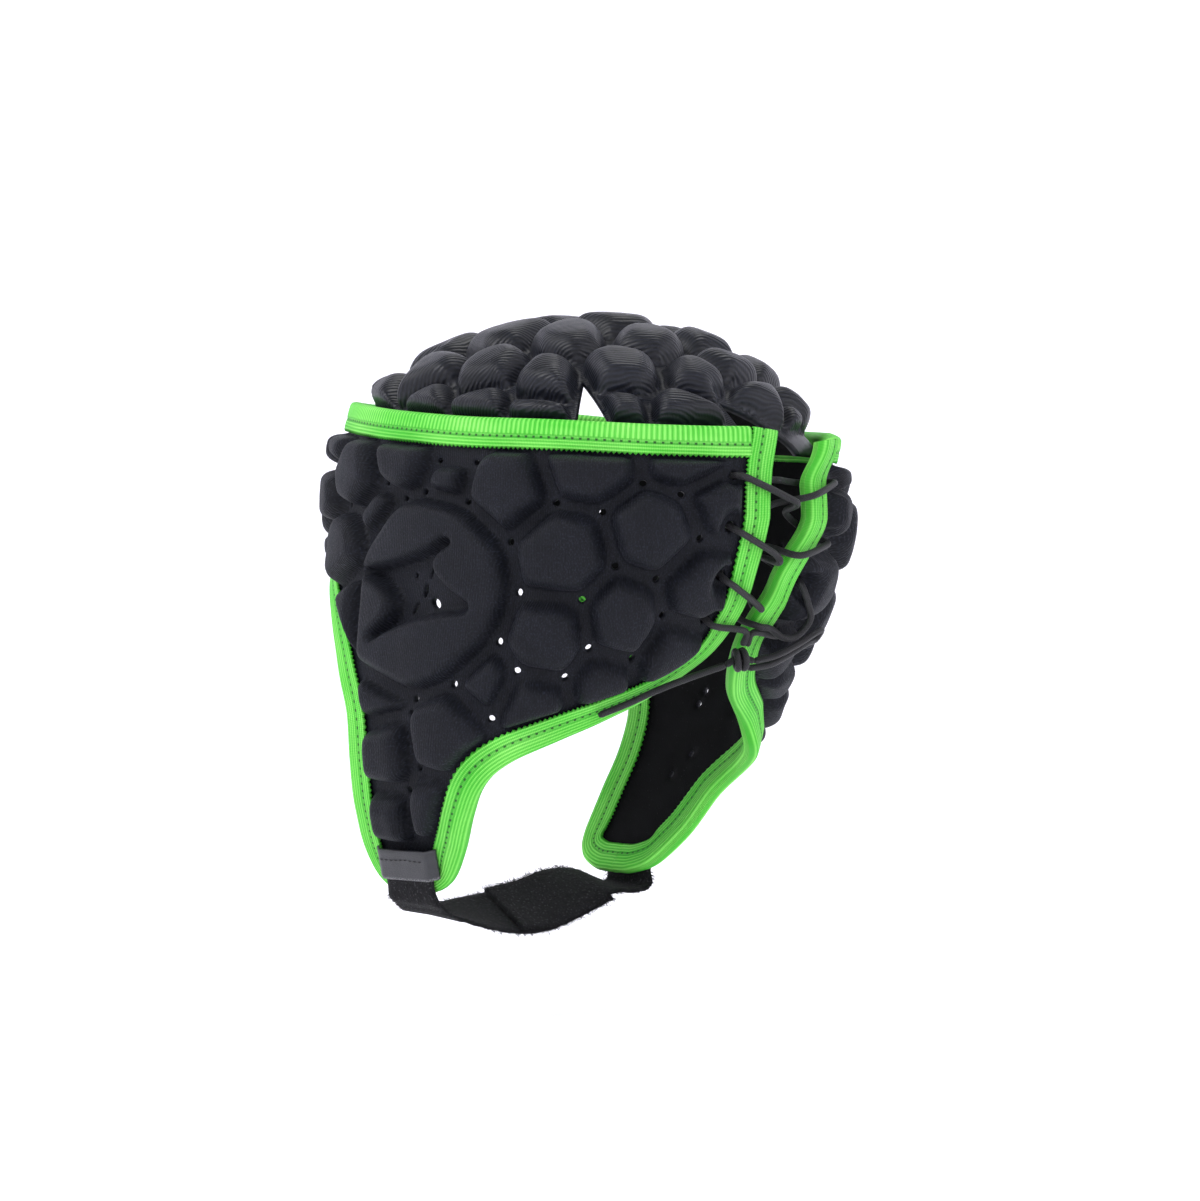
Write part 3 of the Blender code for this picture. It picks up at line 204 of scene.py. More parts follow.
# side, turn, fall, height as a share of the knot's
TAIL_LEFT = (
    (1, 0.966, 0.348, 0.90), (1, 0.915, 0.387, 0.72), (1, 0.865, 0.422, 0.66),
    (1, 0.815, 0.460, 0.66), (1, 0.770, 0.494, 0.66),
)
TAIL_RIGHT = (
    (-1, 0.976, 0.316, 1.30), (-1, 0.945, 0.298, 1.34), (-1, 0.905, 0.274, 1.30),
    (-1, 0.868, 0.252, 1.25), (-1, 0.847, 0.246, 1.25), (-1, 0.848, 0.269, 1.25),
    (-1, 0.872, 0.277, 1.25), (-1, 0.908, 0.300, 1.30), (-1, 0.945, 0.324, 1.34),
    (-1, 0.972, 0.342, 1.30),
)
STRAP_FALLS = (0.874, 0.904, 0.946, 0.980)
# share of the strap's half width, share of the rise over the strap
PATCH_COLUMNS = (
    (-1.25, 0.0), (-1.17, 0.0), (-1.03, 1.0), (0.0, 1.0), (1.03, 1.0), (1.17, 0.0), (1.25, 0.0),
)
# x, y, z as shares, lean in degrees
STRAP_ROUTE = (
    (0.738, -0.325, 1.014, 90.0), (0.645, -0.335, 1.038, 88.0), (0.510, -0.346, 1.046, 80.0),
    (0.320, -0.356, 1.051, 66.0), (0.100, -0.365, 1.054, 54.0), (-0.100, -0.365, 1.049, 47.0),
    (-0.250, -0.365, 1.036, 47.0), (-0.400, -0.365, 1.024, 56.0), (-0.530, -0.362, 1.017, 70.0),
    (-0.680, -0.342, 1.029, 82.0), (-0.750, -0.330, 1.025, 88.0), (-0.778, -0.325, 1.008, 90.0),
)


# Curves and loops


def catmull(before: Array, start: Array, end: Array, after: Array, share: Array) -> Array:
    """Places between start and end on the smooth curve through four places."""
    square, cube = share * share, share * share * share
    return 0.5 * (
        2.0 * start
        + (end - before) * share
        + (2.0 * before - 5.0 * start + 4.0 * end - after) * square
        + (3.0 * start - before - 3.0 * end + after) * cube
    )


def smooth_curve(places: Array, steps: int = 8) -> Array:
    """A dense polyline on the smooth curve through places.

    Args:
        places: rows of coordinates.
        steps: steps from each place to the next.

    Returns:
        The polyline's rows.
    """
    places = np.asarray(places, float)
    padded = np.vstack((2.0 * places[0] - places[1], places, 2.0 * places[-1] - places[-2]))
    share = np.linspace(0.0, 1.0, steps, endpoint=False)[:, None]
    runs = [catmull(*padded[k : k + 4], share) for k in range(len(places) - 1)]
    return np.vstack(runs + [places[-1:]])


def evenly(polyline: Array, spacing: float) -> Array:
    """The polyline cut again into equal steps of about spacing, ends kept."""
    lengths = run_lengths(polyline)
    count = max(2, round(lengths[-1] / spacing))
    wanted = np.linspace(0.0, lengths[-1], count + 1)
    return np.column_stack([np.interp(wanted, lengths, column) for column in polyline.T])


def run_lengths(polyline: Array) -> Array:
    """Length along a polyline up to each of its places."""
    steps = np.linalg.norm(np.diff(polyline, axis=0), axis=1)
    return np.concatenate(([0.0], np.cumsum(steps)))


def smoothstep(low: float, high: float, values: Array) -> Array:
    """0 below low, 1 above high and smooth between."""
    share = np.clip((values - low) / (high - low), 0.0, 1.0)
    return share * share * (3.0 - 2.0 * share)


def oval(middle: Array, half_wide: float, half_tall: float, tilt: float, count: int) -> Array:
    """An oval loop of places, tilted by tilt degrees."""
    angle = np.linspace(0.0, 2.0 * math.pi, count, endpoint=False)
    wide, tall, turn = half_wide * np.cos(angle), half_tall * np.sin(angle), math.radians(tilt)
    across = wide * math.cos(turn) - tall * math.sin(turn)
    down = wide * math.sin(turn) + tall * math.cos(turn)
    return middle + np.column_stack((across, down))


@dataclass
class Loop:
    """A closed flat outline."""

    places: Array

    def edges(self) -> list[tuple[Array, Array]]:
        """Each edge's two ends."""
        return list(zip(self.places, np.roll(self.places, -1, axis=0)))

    def inside(self, spots: Array) -> Array:
        """Whether each spot lies within the outline."""
        found = np.zeros(len(spots), bool)
        x, y = spots[:, 0], spots[:, 1]
        for start, end in self.edges():
            if start[1] == end[1]:
                continue
            cross = start[0] + (end[0] - start[0]) * (y - start[1]) / (end[1] - start[1])
            found ^= ((start[1] > y) != (end[1] > y)) & (x < cross)
        return found

    def distance(self, spots: Array) -> Array:
        """Distance inside the outline, negative outside it."""
        best = np.full(len(spots), 1.0)
        for start, end in self.edges():
            run = end - start
            share = np.clip((spots - start) @ run / max(run @ run, 1e-14), 0.0, 1.0)
            away = spots - start - share[:, None] * run
            best = np.minimum(best, np.einsum("ij,ij->i", away, away))
        return np.where(self.inside(spots), 1.0, -1.0) * np.sqrt(best)


# Head form


@dataclass
class HeadForm:
    """The form that both sheets wrap round, and the places on it."""

    sizes: Sizes = field(default_factory=Sizes)

    def __post_init__(self) -> None:
        """Measures the girth, which turns are shares of."""
        azimuth = np.linspace(0.0, math.pi, 361)
        line = self.form(azimuth, np.zeros(361), self.sizes.wrap_wall)
        lengths = run_lengths(line)
        self.half_girth = float(lengths[-1])
        self.girth_azimuth, self.girth_share = azimuth, lengths / lengths[-1]

    def form(self, azimuth: Array, fall: Array, wall: Array | float) -> Array:
        """Places on the form.

        Args:
            azimuth: radians from the front towards the wearer's left.
            fall: 0 at the girth line, -1 at the crown, 1 at the flaps' end.
            wall: power of the form's shrink above the girth line.

        Returns:
            Rows of x, y and z.
        """
        s, rows = self.sizes, SECTIONS
        down = np.clip(fall, 0.0, 1.0)
        index = np.clip(np.searchsorted(rows[:, 0], down, side="left") - 1, 0, len(rows) - 2)
        low, high = rows[index], rows[index + 1]
        before, after = rows[np.maximum(index - 1, 0)], rows[np.minimum(index + 2, len(rows) - 1)]
        share = ((down - low[:, 0]) / (high[:, 0] - low[:, 0]))[:, None]
        _, middle, front, back, width, square = catmull(before, low, high, after, share).T
        middle, front = middle * s.head_front, front * s.head_front
        back, width = back * s.head_back, width * s.head_half_width
        rise = np.maximum(-fall, 0.0) * math.pi / 2.0
        shrink = np.where(fall < 0.0, np.cos(rise) ** wall, 1.0)
        height = np.where(
            fall < 0.0, -s.crown_rise * (1.0 - np.sin(rise)), -s.crown_rise - fall * s.flap_drop
        )
        across, along = np.sin(azimuth), -np.cos(azimuth)
        depth = np.where(along < 0.0, front + middle, back - middle)
        radius = np.abs(across / width) ** square + np.abs(along / depth) ** square
        radius = radius ** (-1.0 / square)
        return np.column_stack(
            (shrink * radius * across, shrink * (middle + radius * along), height)
        )

    def raised(self, azimuth: Array, fall: Array, out: Array, wall: Array | float) -> Array:
        """Places out metres off the form, square to it."""
        step = 0.004
        fall = np.maximum(fall, -0.985)
        sideways = self.form(azimuth + step, fall, wall) - self.form(azimuth - step, fall, wall)
        down = self.form(azimuth, fall + step, wall) - self.form(azimuth, fall - step, wall)
        normal = np.cross(down, sideways)
        normal /= np.linalg.norm(normal, axis=1)[:, None]
        return self.form(azimuth, fall, wall) + normal * np.asarray(out)[:, None]

    def azimuth_of(self, turn: Array) -> Array:
        """The azimuth of a share of the half girth, in radians."""
        size = np.abs(turn)
        within = np.interp(size, self.girth_share, self.girth_azimuth)
        past = math.pi + (size - 1.0) * self.half_girth / self.sizes.head_back
        return np.sign(turn) * np.where(size >= 1.0, past, within)

    def flat(self, rows: Sequence[Sequence[float]]) -> Array:
        """Rows of turn and fall, laid out flat in metres."""
        rows = np.asarray(rows, float)
        turn, fall = rows[:, 0], rows[:, 1]
        tall = np.where(fall < 0.0, self.sizes.crown_arc, self.sizes.flap_drop)
        return np.column_stack((turn * self.half_girth, fall * tall))

    def wrap(self, side: Side, spots: Array, out: Array | float) -> Array:
        """Where flat places of the wrap lie, out metres off the head."""
        s = self.sizes
        turn = spots[:, 0] / self.half_girth
        tall = np.where(spots[:, 1] < 0.0, s.crown_arc, s.flap_drop)
        fall = spots[:, 1] / tall
        out = np.broadcast_to(np.asarray(out, float), turn.shape).copy()
        for row_side, at_turn, at_fall, wide, high, turn_shift, fall_shift, lift in DRAPE:
            if row_side != side.value:
                continue
            away = ((turn - at_turn) / wide) ** 2 + ((fall - at_fall) / high) ** 2
            pull = np.where(spots[:, 0] > 0.0, np.clip(1.0 - away, 0.0, 1.0) ** 2, 0.0)
            turn = turn + turn_shift * pull
            fall = fall + fall_shift * pull
            out = out + lift * s.corner_stand * pull
        places = self.raised(self.azimuth_of(turn), fall, out, s.wrap_wall)
        places[:, 0] *= side.value
        return places

    def wrap_at(self, side: Side, spot: Sequence[float], out: float) -> Array:
        """Where one flat place of the wrap lies."""
        return self.wrap(side, np.array([spot], float), out)[0]

    def top_reach(self, azimuth: Array) -> Array:
        """Reach of the wrap's top edge from the crown's middle."""
        azimuth = np.abs((azimuth + math.pi) % (2.0 * math.pi) - math.pi)
        rows = np.array(TOP_EDGE)
        at = np.append(self.azimuth_of(rows[:, 0]), math.pi)
        return np.interp(azimuth, at, np.append(1.0 + rows[:, 1], 1.0 + rows[-1, 1]))

    def crown(self, spots: Array, out: Array | float) -> Array:
        """Where flat places of the crown lie: on the dome, then tucked in behind the tape."""
        s = self.sizes
        out = np.broadcast_to(np.asarray(out, float), len(spots))
        reach = np.linalg.norm(spots, axis=1) / s.crown_arc
        azimuth = np.arctan2(spots[:, 0], -spots[:, 1])
        edge = self.top_reach(azimuth)
        lean = np.cos(azimuth - math.radians(s.crown_lean_at))
        wall = 1.0 - (s.crown_square + s.crown_lean * lean) * np.minimum(1.0, reach / edge) ** 3
        tuck = np.clip((reach - edge) * s.crown_arc / s.crown_tuck, 0.0, 1.0)[:, None]
        behind = out - s.sheet - s.tape - s.tape_gap - 1.4 * s.clearance
        domed = self.raised(azimuth, reach - 1.0, out, wall)
        return domed + (self.raised(azimuth, reach - 1.0, behind, s.wrap_wall) - domed) * tuck

    def crown_flat(self, azimuth: float, reach: float) -> Array:
        """A flat place of the crown, from its azimuth in degrees and its reach."""
        angle = math.radians(azimuth)
        return np.array((math.sin(angle), -math.cos(angle))) * reach * self.sizes.crown_arc


FORM = HeadForm()
SIZES = FORM.sizes


def inward_steps(side: Side, run: Array, reach: float, window: int) -> Array:
    """Flat steps from an edge into the sheet that measure reach on the head.

    Args:
        side: the half of the wrap.
        run: the edge's flat places, with the sheet on their right.
        reach: length of the step on the head.
        window: places on each side that the edge's direction is read over.

    Returns:
        One step for each place.
    """
    count = len(run)
    ahead = run[np.minimum(np.arange(count) + window, count - 1)]
    along = ahead - run[np.maximum(np.arange(count) - window, 0)]
    along[np.abs(run[:, 0]) < 1e-9, 1] = 0.0
    along /= np.linalg.norm(along, axis=1)[:, None]
    direction = np.column_stack((-along[:, 1], along[:, 0]))
    here, step = FORM.wrap(side, run, 0.0), np.full(count, reach)
    for _ in range(2):
        there = FORM.wrap(side, run + direction * step[:, None], 0.0)
        step = step * reach / np.maximum(1e-6, np.linalg.norm(there - here, axis=1))
    return direction * step[:, None]


def wrap_runs(spacing: float) -> list[Array]:
    """The half wrap's top, back and face edges as flat places about spacing apart."""
    runs = [
        evenly(smooth_curve(FORM.flat(table)), spacing) for table in (TOP_EDGE, BACK_EDGE, FACE_EDGE)
    ]
    runs[0][0, 0] = runs[2][-1, 0] = 0.0
    return runs


def eyelet_spots(side: Side, reach: float) -> Array:
    """Flat middles of one side's eyelets, reach metres in from the back edge."""
    back, spots = wrap_runs(SIZES.station)[1], []
    for fall in EYELETS[side]:
        depth = FORM.flat([(0.0, fall)])[0, 1]
        index = next(k for k in range(1, len(back)) if back[k, 1] >= depth)
        low, high = back[index - 1], back[index]
        edge = low + (high - low) * (depth - low[1]) / (high[1] - low[1])
        step = inward_steps(side, np.array((low, edge, high)), reach, 1)[1]
        spots.append((edge[0] + step[0], depth))
    return np.array(spots)


# Meshes


def add_mesh(
    name: str, places: Array, faces: Sequence[Sequence[int]], pattern: Array | None = None
) -> bpy.types.Object:
    """A smooth mesh object, with its flat pattern kept as a UV layer in millimetres.

    Args:
        name: the piece's name.
        places: rows of x, y and z in metres.
        faces: corners of each face.
        pattern: rows of flat coordinates in millimetres, one for each place.

    Returns:
        The new object.
    """
    mesh = bpy.data.meshes.new(name)
    mesh.from_pydata(np.asarray(places).tolist(), [], [list(map(int, face)) for face in faces])
    mesh.validate()
    if pattern is not None:
        layer = mesh.uv_layers.new(name="pattern")
        corners = np.zeros(len(mesh.loops), np.int32)
        mesh.loops.foreach_get("vertex_index", corners)
        layer.data.foreach_set("uv", np.asarray(pattern, np.float32)[corners].ravel())
    mesh.shade_smooth()
    piece = bpy.data.objects.new(name, mesh)
    bpy.context.scene.collection.objects.link(piece)
    return piece


def turns_left(loop: Array) -> bool:
    """Whether a flat loop runs counterclockwise."""
    after = np.roll(loop, -1, axis=0)
    return float((loop[:, 0] * after[:, 1] - after[:, 0] * loop[:, 1]).sum()) > 0.0


def face_outward(piece: bpy.types.Object) -> None:
    """Turns a piece's faces outward."""
    shape = bmesh.new()
    shape.from_mesh(piece.data)
    inward = shape.calc_volume(signed=True) < 0.0
    shape.free()
    if inward:
        piece.data.flip_normals()


def ring_faces(rings: int, around: int, closed: bool = False, capped: bool = True) -> list:
    """Faces of a tube of rings, each with around places.

    Args:
        rings: how many rings there are.
        around: places in each ring.
        closed: whether the last ring joins the first.
        capped: whether the ends are filled.

    Returns:
        Lists of corners.
    """
    faces = []
    for ring in range(rings if closed else rings - 1):
        here, there = ring * around, (ring + 1) % rings * around
        for k in range(around):
            after = (k + 1) % around
            faces.append((here + k, here + after, there + after, there + k))
    if capped and not closed:
        faces.append(tuple(range(around))[::-1])
        faces.append(tuple(range((rings - 1) * around, rings * around)))
    return faces


def frames(line: Array) -> tuple[Array, Array, Array]:
    """Unit directions along, across and up at each place of a line, turning as little as can be."""
    along = np.gradient(line, axis=0)
    along /= np.linalg.norm(along, axis=1)[:, None]
    across = np.zeros_like(line)
    start = np.cross(along[0], (0.0, 0.0, 1.0))
    if np.linalg.norm(start) < 0.1:
        start = np.cross(along[0], (0.0, 1.0, 0.0))
    across[0] = start / np.linalg.norm(start)
    for k in range(1, len(line)):
        turned = across[k - 1] - along[k] * (across[k - 1] @ along[k])
        across[k] = turned / np.linalg.norm(turned)
    return along, across, np.cross(along, across)


def add_tube(name: str, line: Array, radius: float, around: int = 12) -> bpy.types.Object:
    """A round cord along a line, with slightly rounded ends and its pattern round and along."""
    _, across, up = frames(line)
    angle = np.linspace(0.0, 2.0 * math.pi, around, endpoint=False)
    lengths = run_lengths(line)
    ends = np.minimum(lengths, lengths[-1] - lengths) / radius
    size = radius * np.sqrt(1.0 - np.clip(1.0 - ends * 2.5, 0.0, 0.75) ** 2)
    ring = np.cos(angle)[None, :, None] * across[:, None] + np.sin(angle)[None, :, None] * up[:, None]
    places = (line[:, None] + ring * size[:, None, None]).reshape(-1, 3)
    pattern = np.column_stack(
        (np.repeat(lengths, around), np.tile(angle * radius, len(line)))
    ) * 1000.0
    return add_mesh(name, places, ring_faces(len(line), around), pattern)


def add_threads(name: str, lines: Sequence[Array], radius: float) -> bpy.types.Object:
    """Many short threads in one mesh."""
    places, faces, first = [], [], 0
    angle = np.linspace(0.0, 2.0 * math.pi, 4, endpoint=False)
    for line in lines:
        _, across, up = frames(line)
        taper = radius * np.concatenate(([1.0], np.full(len(line) - 2, 1.0), [0.55]))
        ring = np.cos(angle)[None, :, None] * across[:, None]
        ring = ring + np.sin(angle)[None, :, None] * up[:, None]
        places.append((line[:, None] + ring * taper[:, None, None]).reshape(-1, 3))
        faces += [tuple(first + k for k in face) for face in ring_faces(len(line), 4)]
        first += len(line) * 4
    return add_mesh(name, np.vstack(places), faces)


@dataclass
class Sheet:
    """One moulded sheet laid out flat: its outline, holes, and skins."""

    outline: Array
    holes: list[Array]

    def __post_init__(self) -> None:
        """Keeps the outline and the holes as loops."""
        self.edge = Loop(self.outline)
        self.hole_loops = [Loop(hole) for hole in self.holes]

    def lattice(self, spacing: float) -> Array:
        """Places of an even triangular lattice inside the edge and outside the holes."""
        low, high = self.outline.min(axis=0), self.outline.max(axis=0)
        rows = np.arange(low[1], high[1], spacing * 0.866)
        columns = np.arange(low[0], high[0] + spacing, spacing)
        x, y = np.meshgrid(columns, rows)
        x = x + (np.arange(len(rows)) % 2)[:, None] * spacing / 2.0
        spots = np.column_stack((x.ravel(), y.ravel()))
        spots = spots[self.edge.distance(spots) > spacing * 0.45]
        for loop in self.hole_loops:
            middle = loop.places.mean(axis=0)
            near = np.linalg.norm(spots - middle, axis=1) < 0.008
            keep = np.ones(len(spots), bool)
            keep[near] = loop.distance(spots[near]) < -spacing * 0.45
            spots = spots[keep]
        return spots

    def triangles(self, spots: Array) -> tuple[Array, Array, list[int]]:
        """Triangles over the outline, the holes and loose spots.

        Returns:
            The places, the triangles, and where each loop place went.
        """
        loops = [self.outline, *self.holes]
        edges, first = [], 0
        for loop in loops:
            count = len(loop)
            edges += [(first + k, first + (k + 1) % count) for k in range(count)]
            first += count
        given = np.vstack([*loops, spots])
        vectors = [Vector(spot) for spot in given.tolist()]
        out, _, faces, origin, _, _ = delaunay_2d_cdt(vectors, edges, [], 0, 1e-8)
        places, faces = np.array([tuple(spot) for spot in out]), np.array(faces)
        moved = [0] * len(given)
        for index, rows in enumerate(origin):
            for row in rows:
                moved[row] = index
        middles = places[faces].mean(axis=1)
        keep = self.edge.inside(middles)
        for loop in self.hole_loops:
            middle = loop.places.mean(axis=0)
            near = keep & (np.linalg.norm(middles - middle, axis=1) < 0.008)
            keep[near] = ~loop.inside(middles[near])
        return places, faces[keep], moved[:first]

    def built(
        self, name: str, place: Place, height: Callable[[Array], Array], fine: float, coarse: float,
        seam: bool, depth: Callable[[Array], Array],
    ) -> bpy.types.Object:
        """The sheet as one mesh of outer skin, inner skin and walls.

        Args:
            name: the piece's name.
            place: maps flat spots and heights to space.
            height: the outer skin's rise over the sheet at flat spots.
            fine: spacing of the outer skin's lattice, in metres.
            coarse: spacing of the inner skin's lattice.
            seam: whether edges at x = 0 are left open for the other half.
            depth: the inner skin's offset at flat spots.

        Returns:
            The new object.
        """
        outer, outer_faces, outer_loop = self.triangles(self.lattice(fine))
        inner, inner_faces, inner_loop = self.triangles(self.lattice(coarse))
        top = place(outer, SIZES.sheet + height(outer))
        bottom = place(inner, depth(inner))
        count, walls, first = len(outer), [], 0
        for number, loop in enumerate([self.outline, *self.holes]):
            ahead = turns_left(loop) == (number == 0)
            for k in range(len(loop)):
                a, b = first + k, first + (k + 1) % len(loop)
                if seam and abs(loop[k][0]) < 1e-7 and abs(loop[(k + 1) % len(loop)][0]) < 1e-7:
                    continue
                if ahead:
                    a, b = b, a
                walls.append(
                    (outer_loop[a], outer_loop[b], count + inner_loop[b], count + inner_loop[a])
                )
            first += len(loop)
        faces = [tuple(face) for face in outer_faces]
        faces += [tuple(count + k for k in face[::-1]) for face in inner_faces] + walls
        lining = len(outer_faces)
        pattern = np.vstack((outer, inner)) * 1000.0
        piece = add_mesh(name, np.vstack((top, bottom)), faces, pattern)
        slots = np.zeros(len(faces), np.int32)
        slots[lining : lining + len(inner_faces)] = 1
        piece["lining_slots"] = slots.tolist()
        return piece


@dataclass
class PadField:
    """Pads of one sheet, divided from their neighbours by valleys."""

    seeds: Array
    reaches: Array
    rise: float
    shoulder: float
    dome: float
    steep: float = 2.6
    bare: tuple[int, ...] = ()
    valley: float = SIZES.valley

    def rises(self, spots: Array, limits: Array) -> tuple[Array, Array]:
        """Height of the pads at flat spots.

        Args:
            spots: flat places.
            limits: how far each spot is inside the edge that its pad keeps to.

        Returns:
            The heights, and which pad each spot is in.
        """
        apart = spots[:, None, :] - self.seeds[None]
        power = np.einsum("ijk,ijk->ij", apart, apart) - self.reaches[None] ** 2
        owner = np.argmin(power, axis=1)
        between = np.linalg.norm(self.seeds[:, None] - self.seeds[None], axis=2)
        rows = np.arange(len(spots))
        border = power - power[rows, owner][:, None]
        border = border / (2.0 * np.maximum(between[owner], 1e-6)) - self.valley / 2.0
        border[rows, owner] = 1.0
        border = np.column_stack((border, limits))
        soft = 0.0011
        inside = -soft * np.log(np.exp(-np.clip(border, -0.02, 0.05) / soft).sum(axis=1))
        room = np.zeros(len(self.seeds))
        np.maximum.at(room, owner, inside)
        room = np.maximum(room, 1e-5)[owner]
        wide = np.minimum(self.shoulder, room * 0.9)
        share = np.clip(inside / wide, 0.0, 1.0)
        lift = (1.0 - (1.0 - share) ** self.steep) ** 0.72
        tall = self.rise * np.minimum(1.0, np.sqrt(room / SIZES.small_pad))
        crowned = self.dome * (1.0 - (1.0 - np.clip(inside / room, 0.0, 1.0)) ** 2)
        rise = tall * lift + crowned * lift
        rise[room < SIZES.least_pad] = 0.0
        rise[np.isin(owner, self.bare)] = 0.0
        return rise, owner


def ripple(spots: Array, size: float) -> Array:
    """A faint uneven swell over a sheet, as moulded foam has."""
    x, y = spots[:, 0] * 1000.0, spots[:, 1] * 1000.0
    wave = np.sin(x * 0.31 + 1.3 * np.sin(y * 0.13)) * np.cos(y * 0.27 + 0.9 * np.sin(x * 0.11))
    return size * (wave + 0.5 * np.sin(x * 0.73 + y * 0.51) * np.cos(y * 0.67 - x * 0.29))


def finish_sheet(piece: bpy.types.Object, outside: "Finish", lining: "Finish") -> None:
    """Dresses a sheet's outer skin and its inner skin."""
    piece.data.materials.append(outside.material())
    piece.data.materials.append(lining.material())
    piece.data.polygons.foreach_set(
        "material_index", np.array(piece["lining_slots"], np.int32)
    )
    del piece["lining_slots"]


@dataclass
class WrapPanel:
    """The moulded sheet round the sides and forehead, with its two cheek flaps."""

    fine: float = 0.00118
    coarse: float = 0.0030
    rise: float = 0.0078
    shoulder: float = 0.0056
    dome: float = 0.0012
    star_reach: float = 0.030
    star_middle: tuple[float, float] = (0.497, 0.193)
    star_shoulder: float = 0.0048
    perforation: float = 0.0028
    eyelet: float = 0.0040
    eyelet_reach: float = 0.0140
    eyelet_rim: float = 0.0022
    crease_depth: float = 0.0022

    def star(self) -> Array:
        """The star vent's outline: narrow curved valleys between four lobes."""
        rows = np.array(STAR) * self.star_reach
        tips, curves = rows[:, :2], rows[:, 2:]
        loop = []
        for index, tip in enumerate(tips):
            curve, after = curves[index], tips[(index + 1) % len(tips)]
            pull = 2.0 * curve - (tip + after) / 2.0
            pull = curve + (pull - curve) * 0.95
            for share in np.linspace(0.04, 0.96, 14):
                loop.append(
                    tip * (1.0 - share) ** 2 + 2.0 * pull * share * (1.0 - share) + after * share**2
                )
        return FORM.flat([self.star_middle])[0] + np.array(loop)

    def seeds(self) -> tuple[Array, Array]:
        """Middles and reaches of one half's pads, then of the neighbours that only bound them."""
        rows = np.array(WRAP_PADS)
        middles, reaches = FORM.flat(rows[:, :2]), rows[:, 2] * SIZES.pad_reach
        near = middles[:, 0] < 0.03
        patches = np.array(PATCH_SEEDS)
        middles = np.vstack(
            (middles, middles[near] * (-1.0, 1.0), FORM.flat(patches[:, :2]))
        )
        return middles, np.concatenate((reaches, reaches[near], patches[:, 2] * SIZES.pad_reach))

    def junctions(self, edge: Loop, margin: float) -> list[Array]:
        """Places where three pads' borders meet, well inside the sheet."""
        middles, reaches = self.seeds()
        power, found = (middles**2).sum(axis=1) - reaches**2, []
        count = len(middles)
        for a in range(count):
            for b in range(a + 1, count):
                if np.linalg.norm(middles[a] - middles[b]) > 0.075:
                    continue
                for c in range(b + 1, count):
                    sides = 2.0 * (middles[[b, c]] - middles[a])
                    if abs(np.linalg.det(sides)) < 4e-7:
                        continue
                    spot = np.linalg.solve(sides, power[[b, c]] - power[a])
                    rivals = ((middles - spot) ** 2).sum(axis=1) - reaches**2
                    if rivals.min() >= rivals[a] - 1e-9:
                        found.append(spot)
        return [spot for spot in found if edge.distance(spot[None])[0] > margin]

    def half(self, side: Side) -> bpy.types.Object:
        """One half of the panel."""
        top, back, face = wrap_runs(0.0022)
        low, high = face[-1, 1], top[0, 1]
        seam = [(0.0, low + (high - low) * k / 30.0) for k in range(1, 30)]
        outline = np.vstack((top[:-1], back[:-1], face, seam))
        wide = Loop(np.vstack(((-0.05, high), top[:-1], back[:-1], face, (-0.05, low))))
        eyelets = eyelet_spots(side, self.eyelet_reach)
        star = FORM.flat([self.star_middle])[0]
        holes = []
        for across, down, half_wide, half_tall, tilt in STAR_HOLES:
            middle = star + np.array((across, down)) * self.star_reach
            holes.append(
                oval(middle, half_wide * self.star_reach, half_tall * self.star_reach, tilt, 14)
            )
        holes += [oval(spot, self.eyelet / 2.0, self.eyelet / 2.0, 0.0, 14) for spot in eyelets]
        lowest = FORM.flat([(0.0, 0.84)])[0, 1]
        for spot in self.junctions(wide, SIZES.tape_width + 0.0025):
            clear = np.linalg.norm(eyelets - spot, axis=1).min() > 0.008
            if spot[0] > 0.004 and spot[1] < lowest and clear:
                holes.append(oval(spot, self.perforation / 2.0, self.perforation / 2.0, 0.0, 14))
        sheet = Sheet(outline, holes)
        middles, reaches = self.seeds()
        bare = (len(middles) - 2, len(middles) - 1)
        pads = PadField(
            middles, reaches, self.rise, self.shoulder, self.dome, bare=bare
        )
        inset = SIZES.tape_width + SIZES.tape_to_pad
        limit_loop = []
        for run in wrap_runs(0.004):
            spots = run + inward_steps(side, run, inset, 2)
            limit_loop.append(spots[wide.distance(spots) > inset * 0.62])
        limit_loop = np.vstack(limit_loop)
        ends = [(-0.05, limit_loop[0, 1]), (-0.05, limit_loop[-1, 1])]
        limit = Loop(np.vstack((ends[0], limit_loop, ends[1])))
        star_loop = Loop(self.star())

        def height(spots: Array) -> Array:
            """The pads' rise at flat spots."""
            room = limit.distance(spots)
            for eyelet in eyelets:
                away = np.linalg.norm(spots - eyelet, axis=1) - self.eyelet / 2.0 - self.eyelet_rim
                room = np.minimum(room, away)
            rise, owner = pads.rises(spots, room)
            ear = owner == EAR_PAD
            away = np.clip(-star_loop.distance(spots[ear]) / self.star_shoulder, 0.0, 1.0)
            lobe = (1.0 - (1.0 - away) ** 2.3) ** 0.8
            rise[ear] = np.minimum(rise[ear], (self.rise + self.dome) * lobe)
            return rise + ripple(spots, 0.00008)

        def depth(spots: Array) -> Array:
            """The inner face's offset: flat, with a crease down the far flap."""
            if side is Side.LEFT:
                return np.zeros(len(spots))
            turn = spots[:, 0] / FORM.half_girth
            fall = spots[:, 1] / SIZES.flap_drop
            line = 0.600 + 0.02 * np.sin(fall * 9.0)
            crease = np.exp(-(((turn - line) / 0.012) ** 2))
            return self.crease_depth * 0.5 * crease * smoothstep(0.38, 0.46, fall) * (
                1.0 - smoothstep(0.60, 0.70, fall)
            )

        return sheet.built(
            f"wrap_{side.name.lower()}_half",
            lambda spots, out: FORM.wrap(side, spots, out),
            height, self.fine, self.coarse, True, depth,
        )

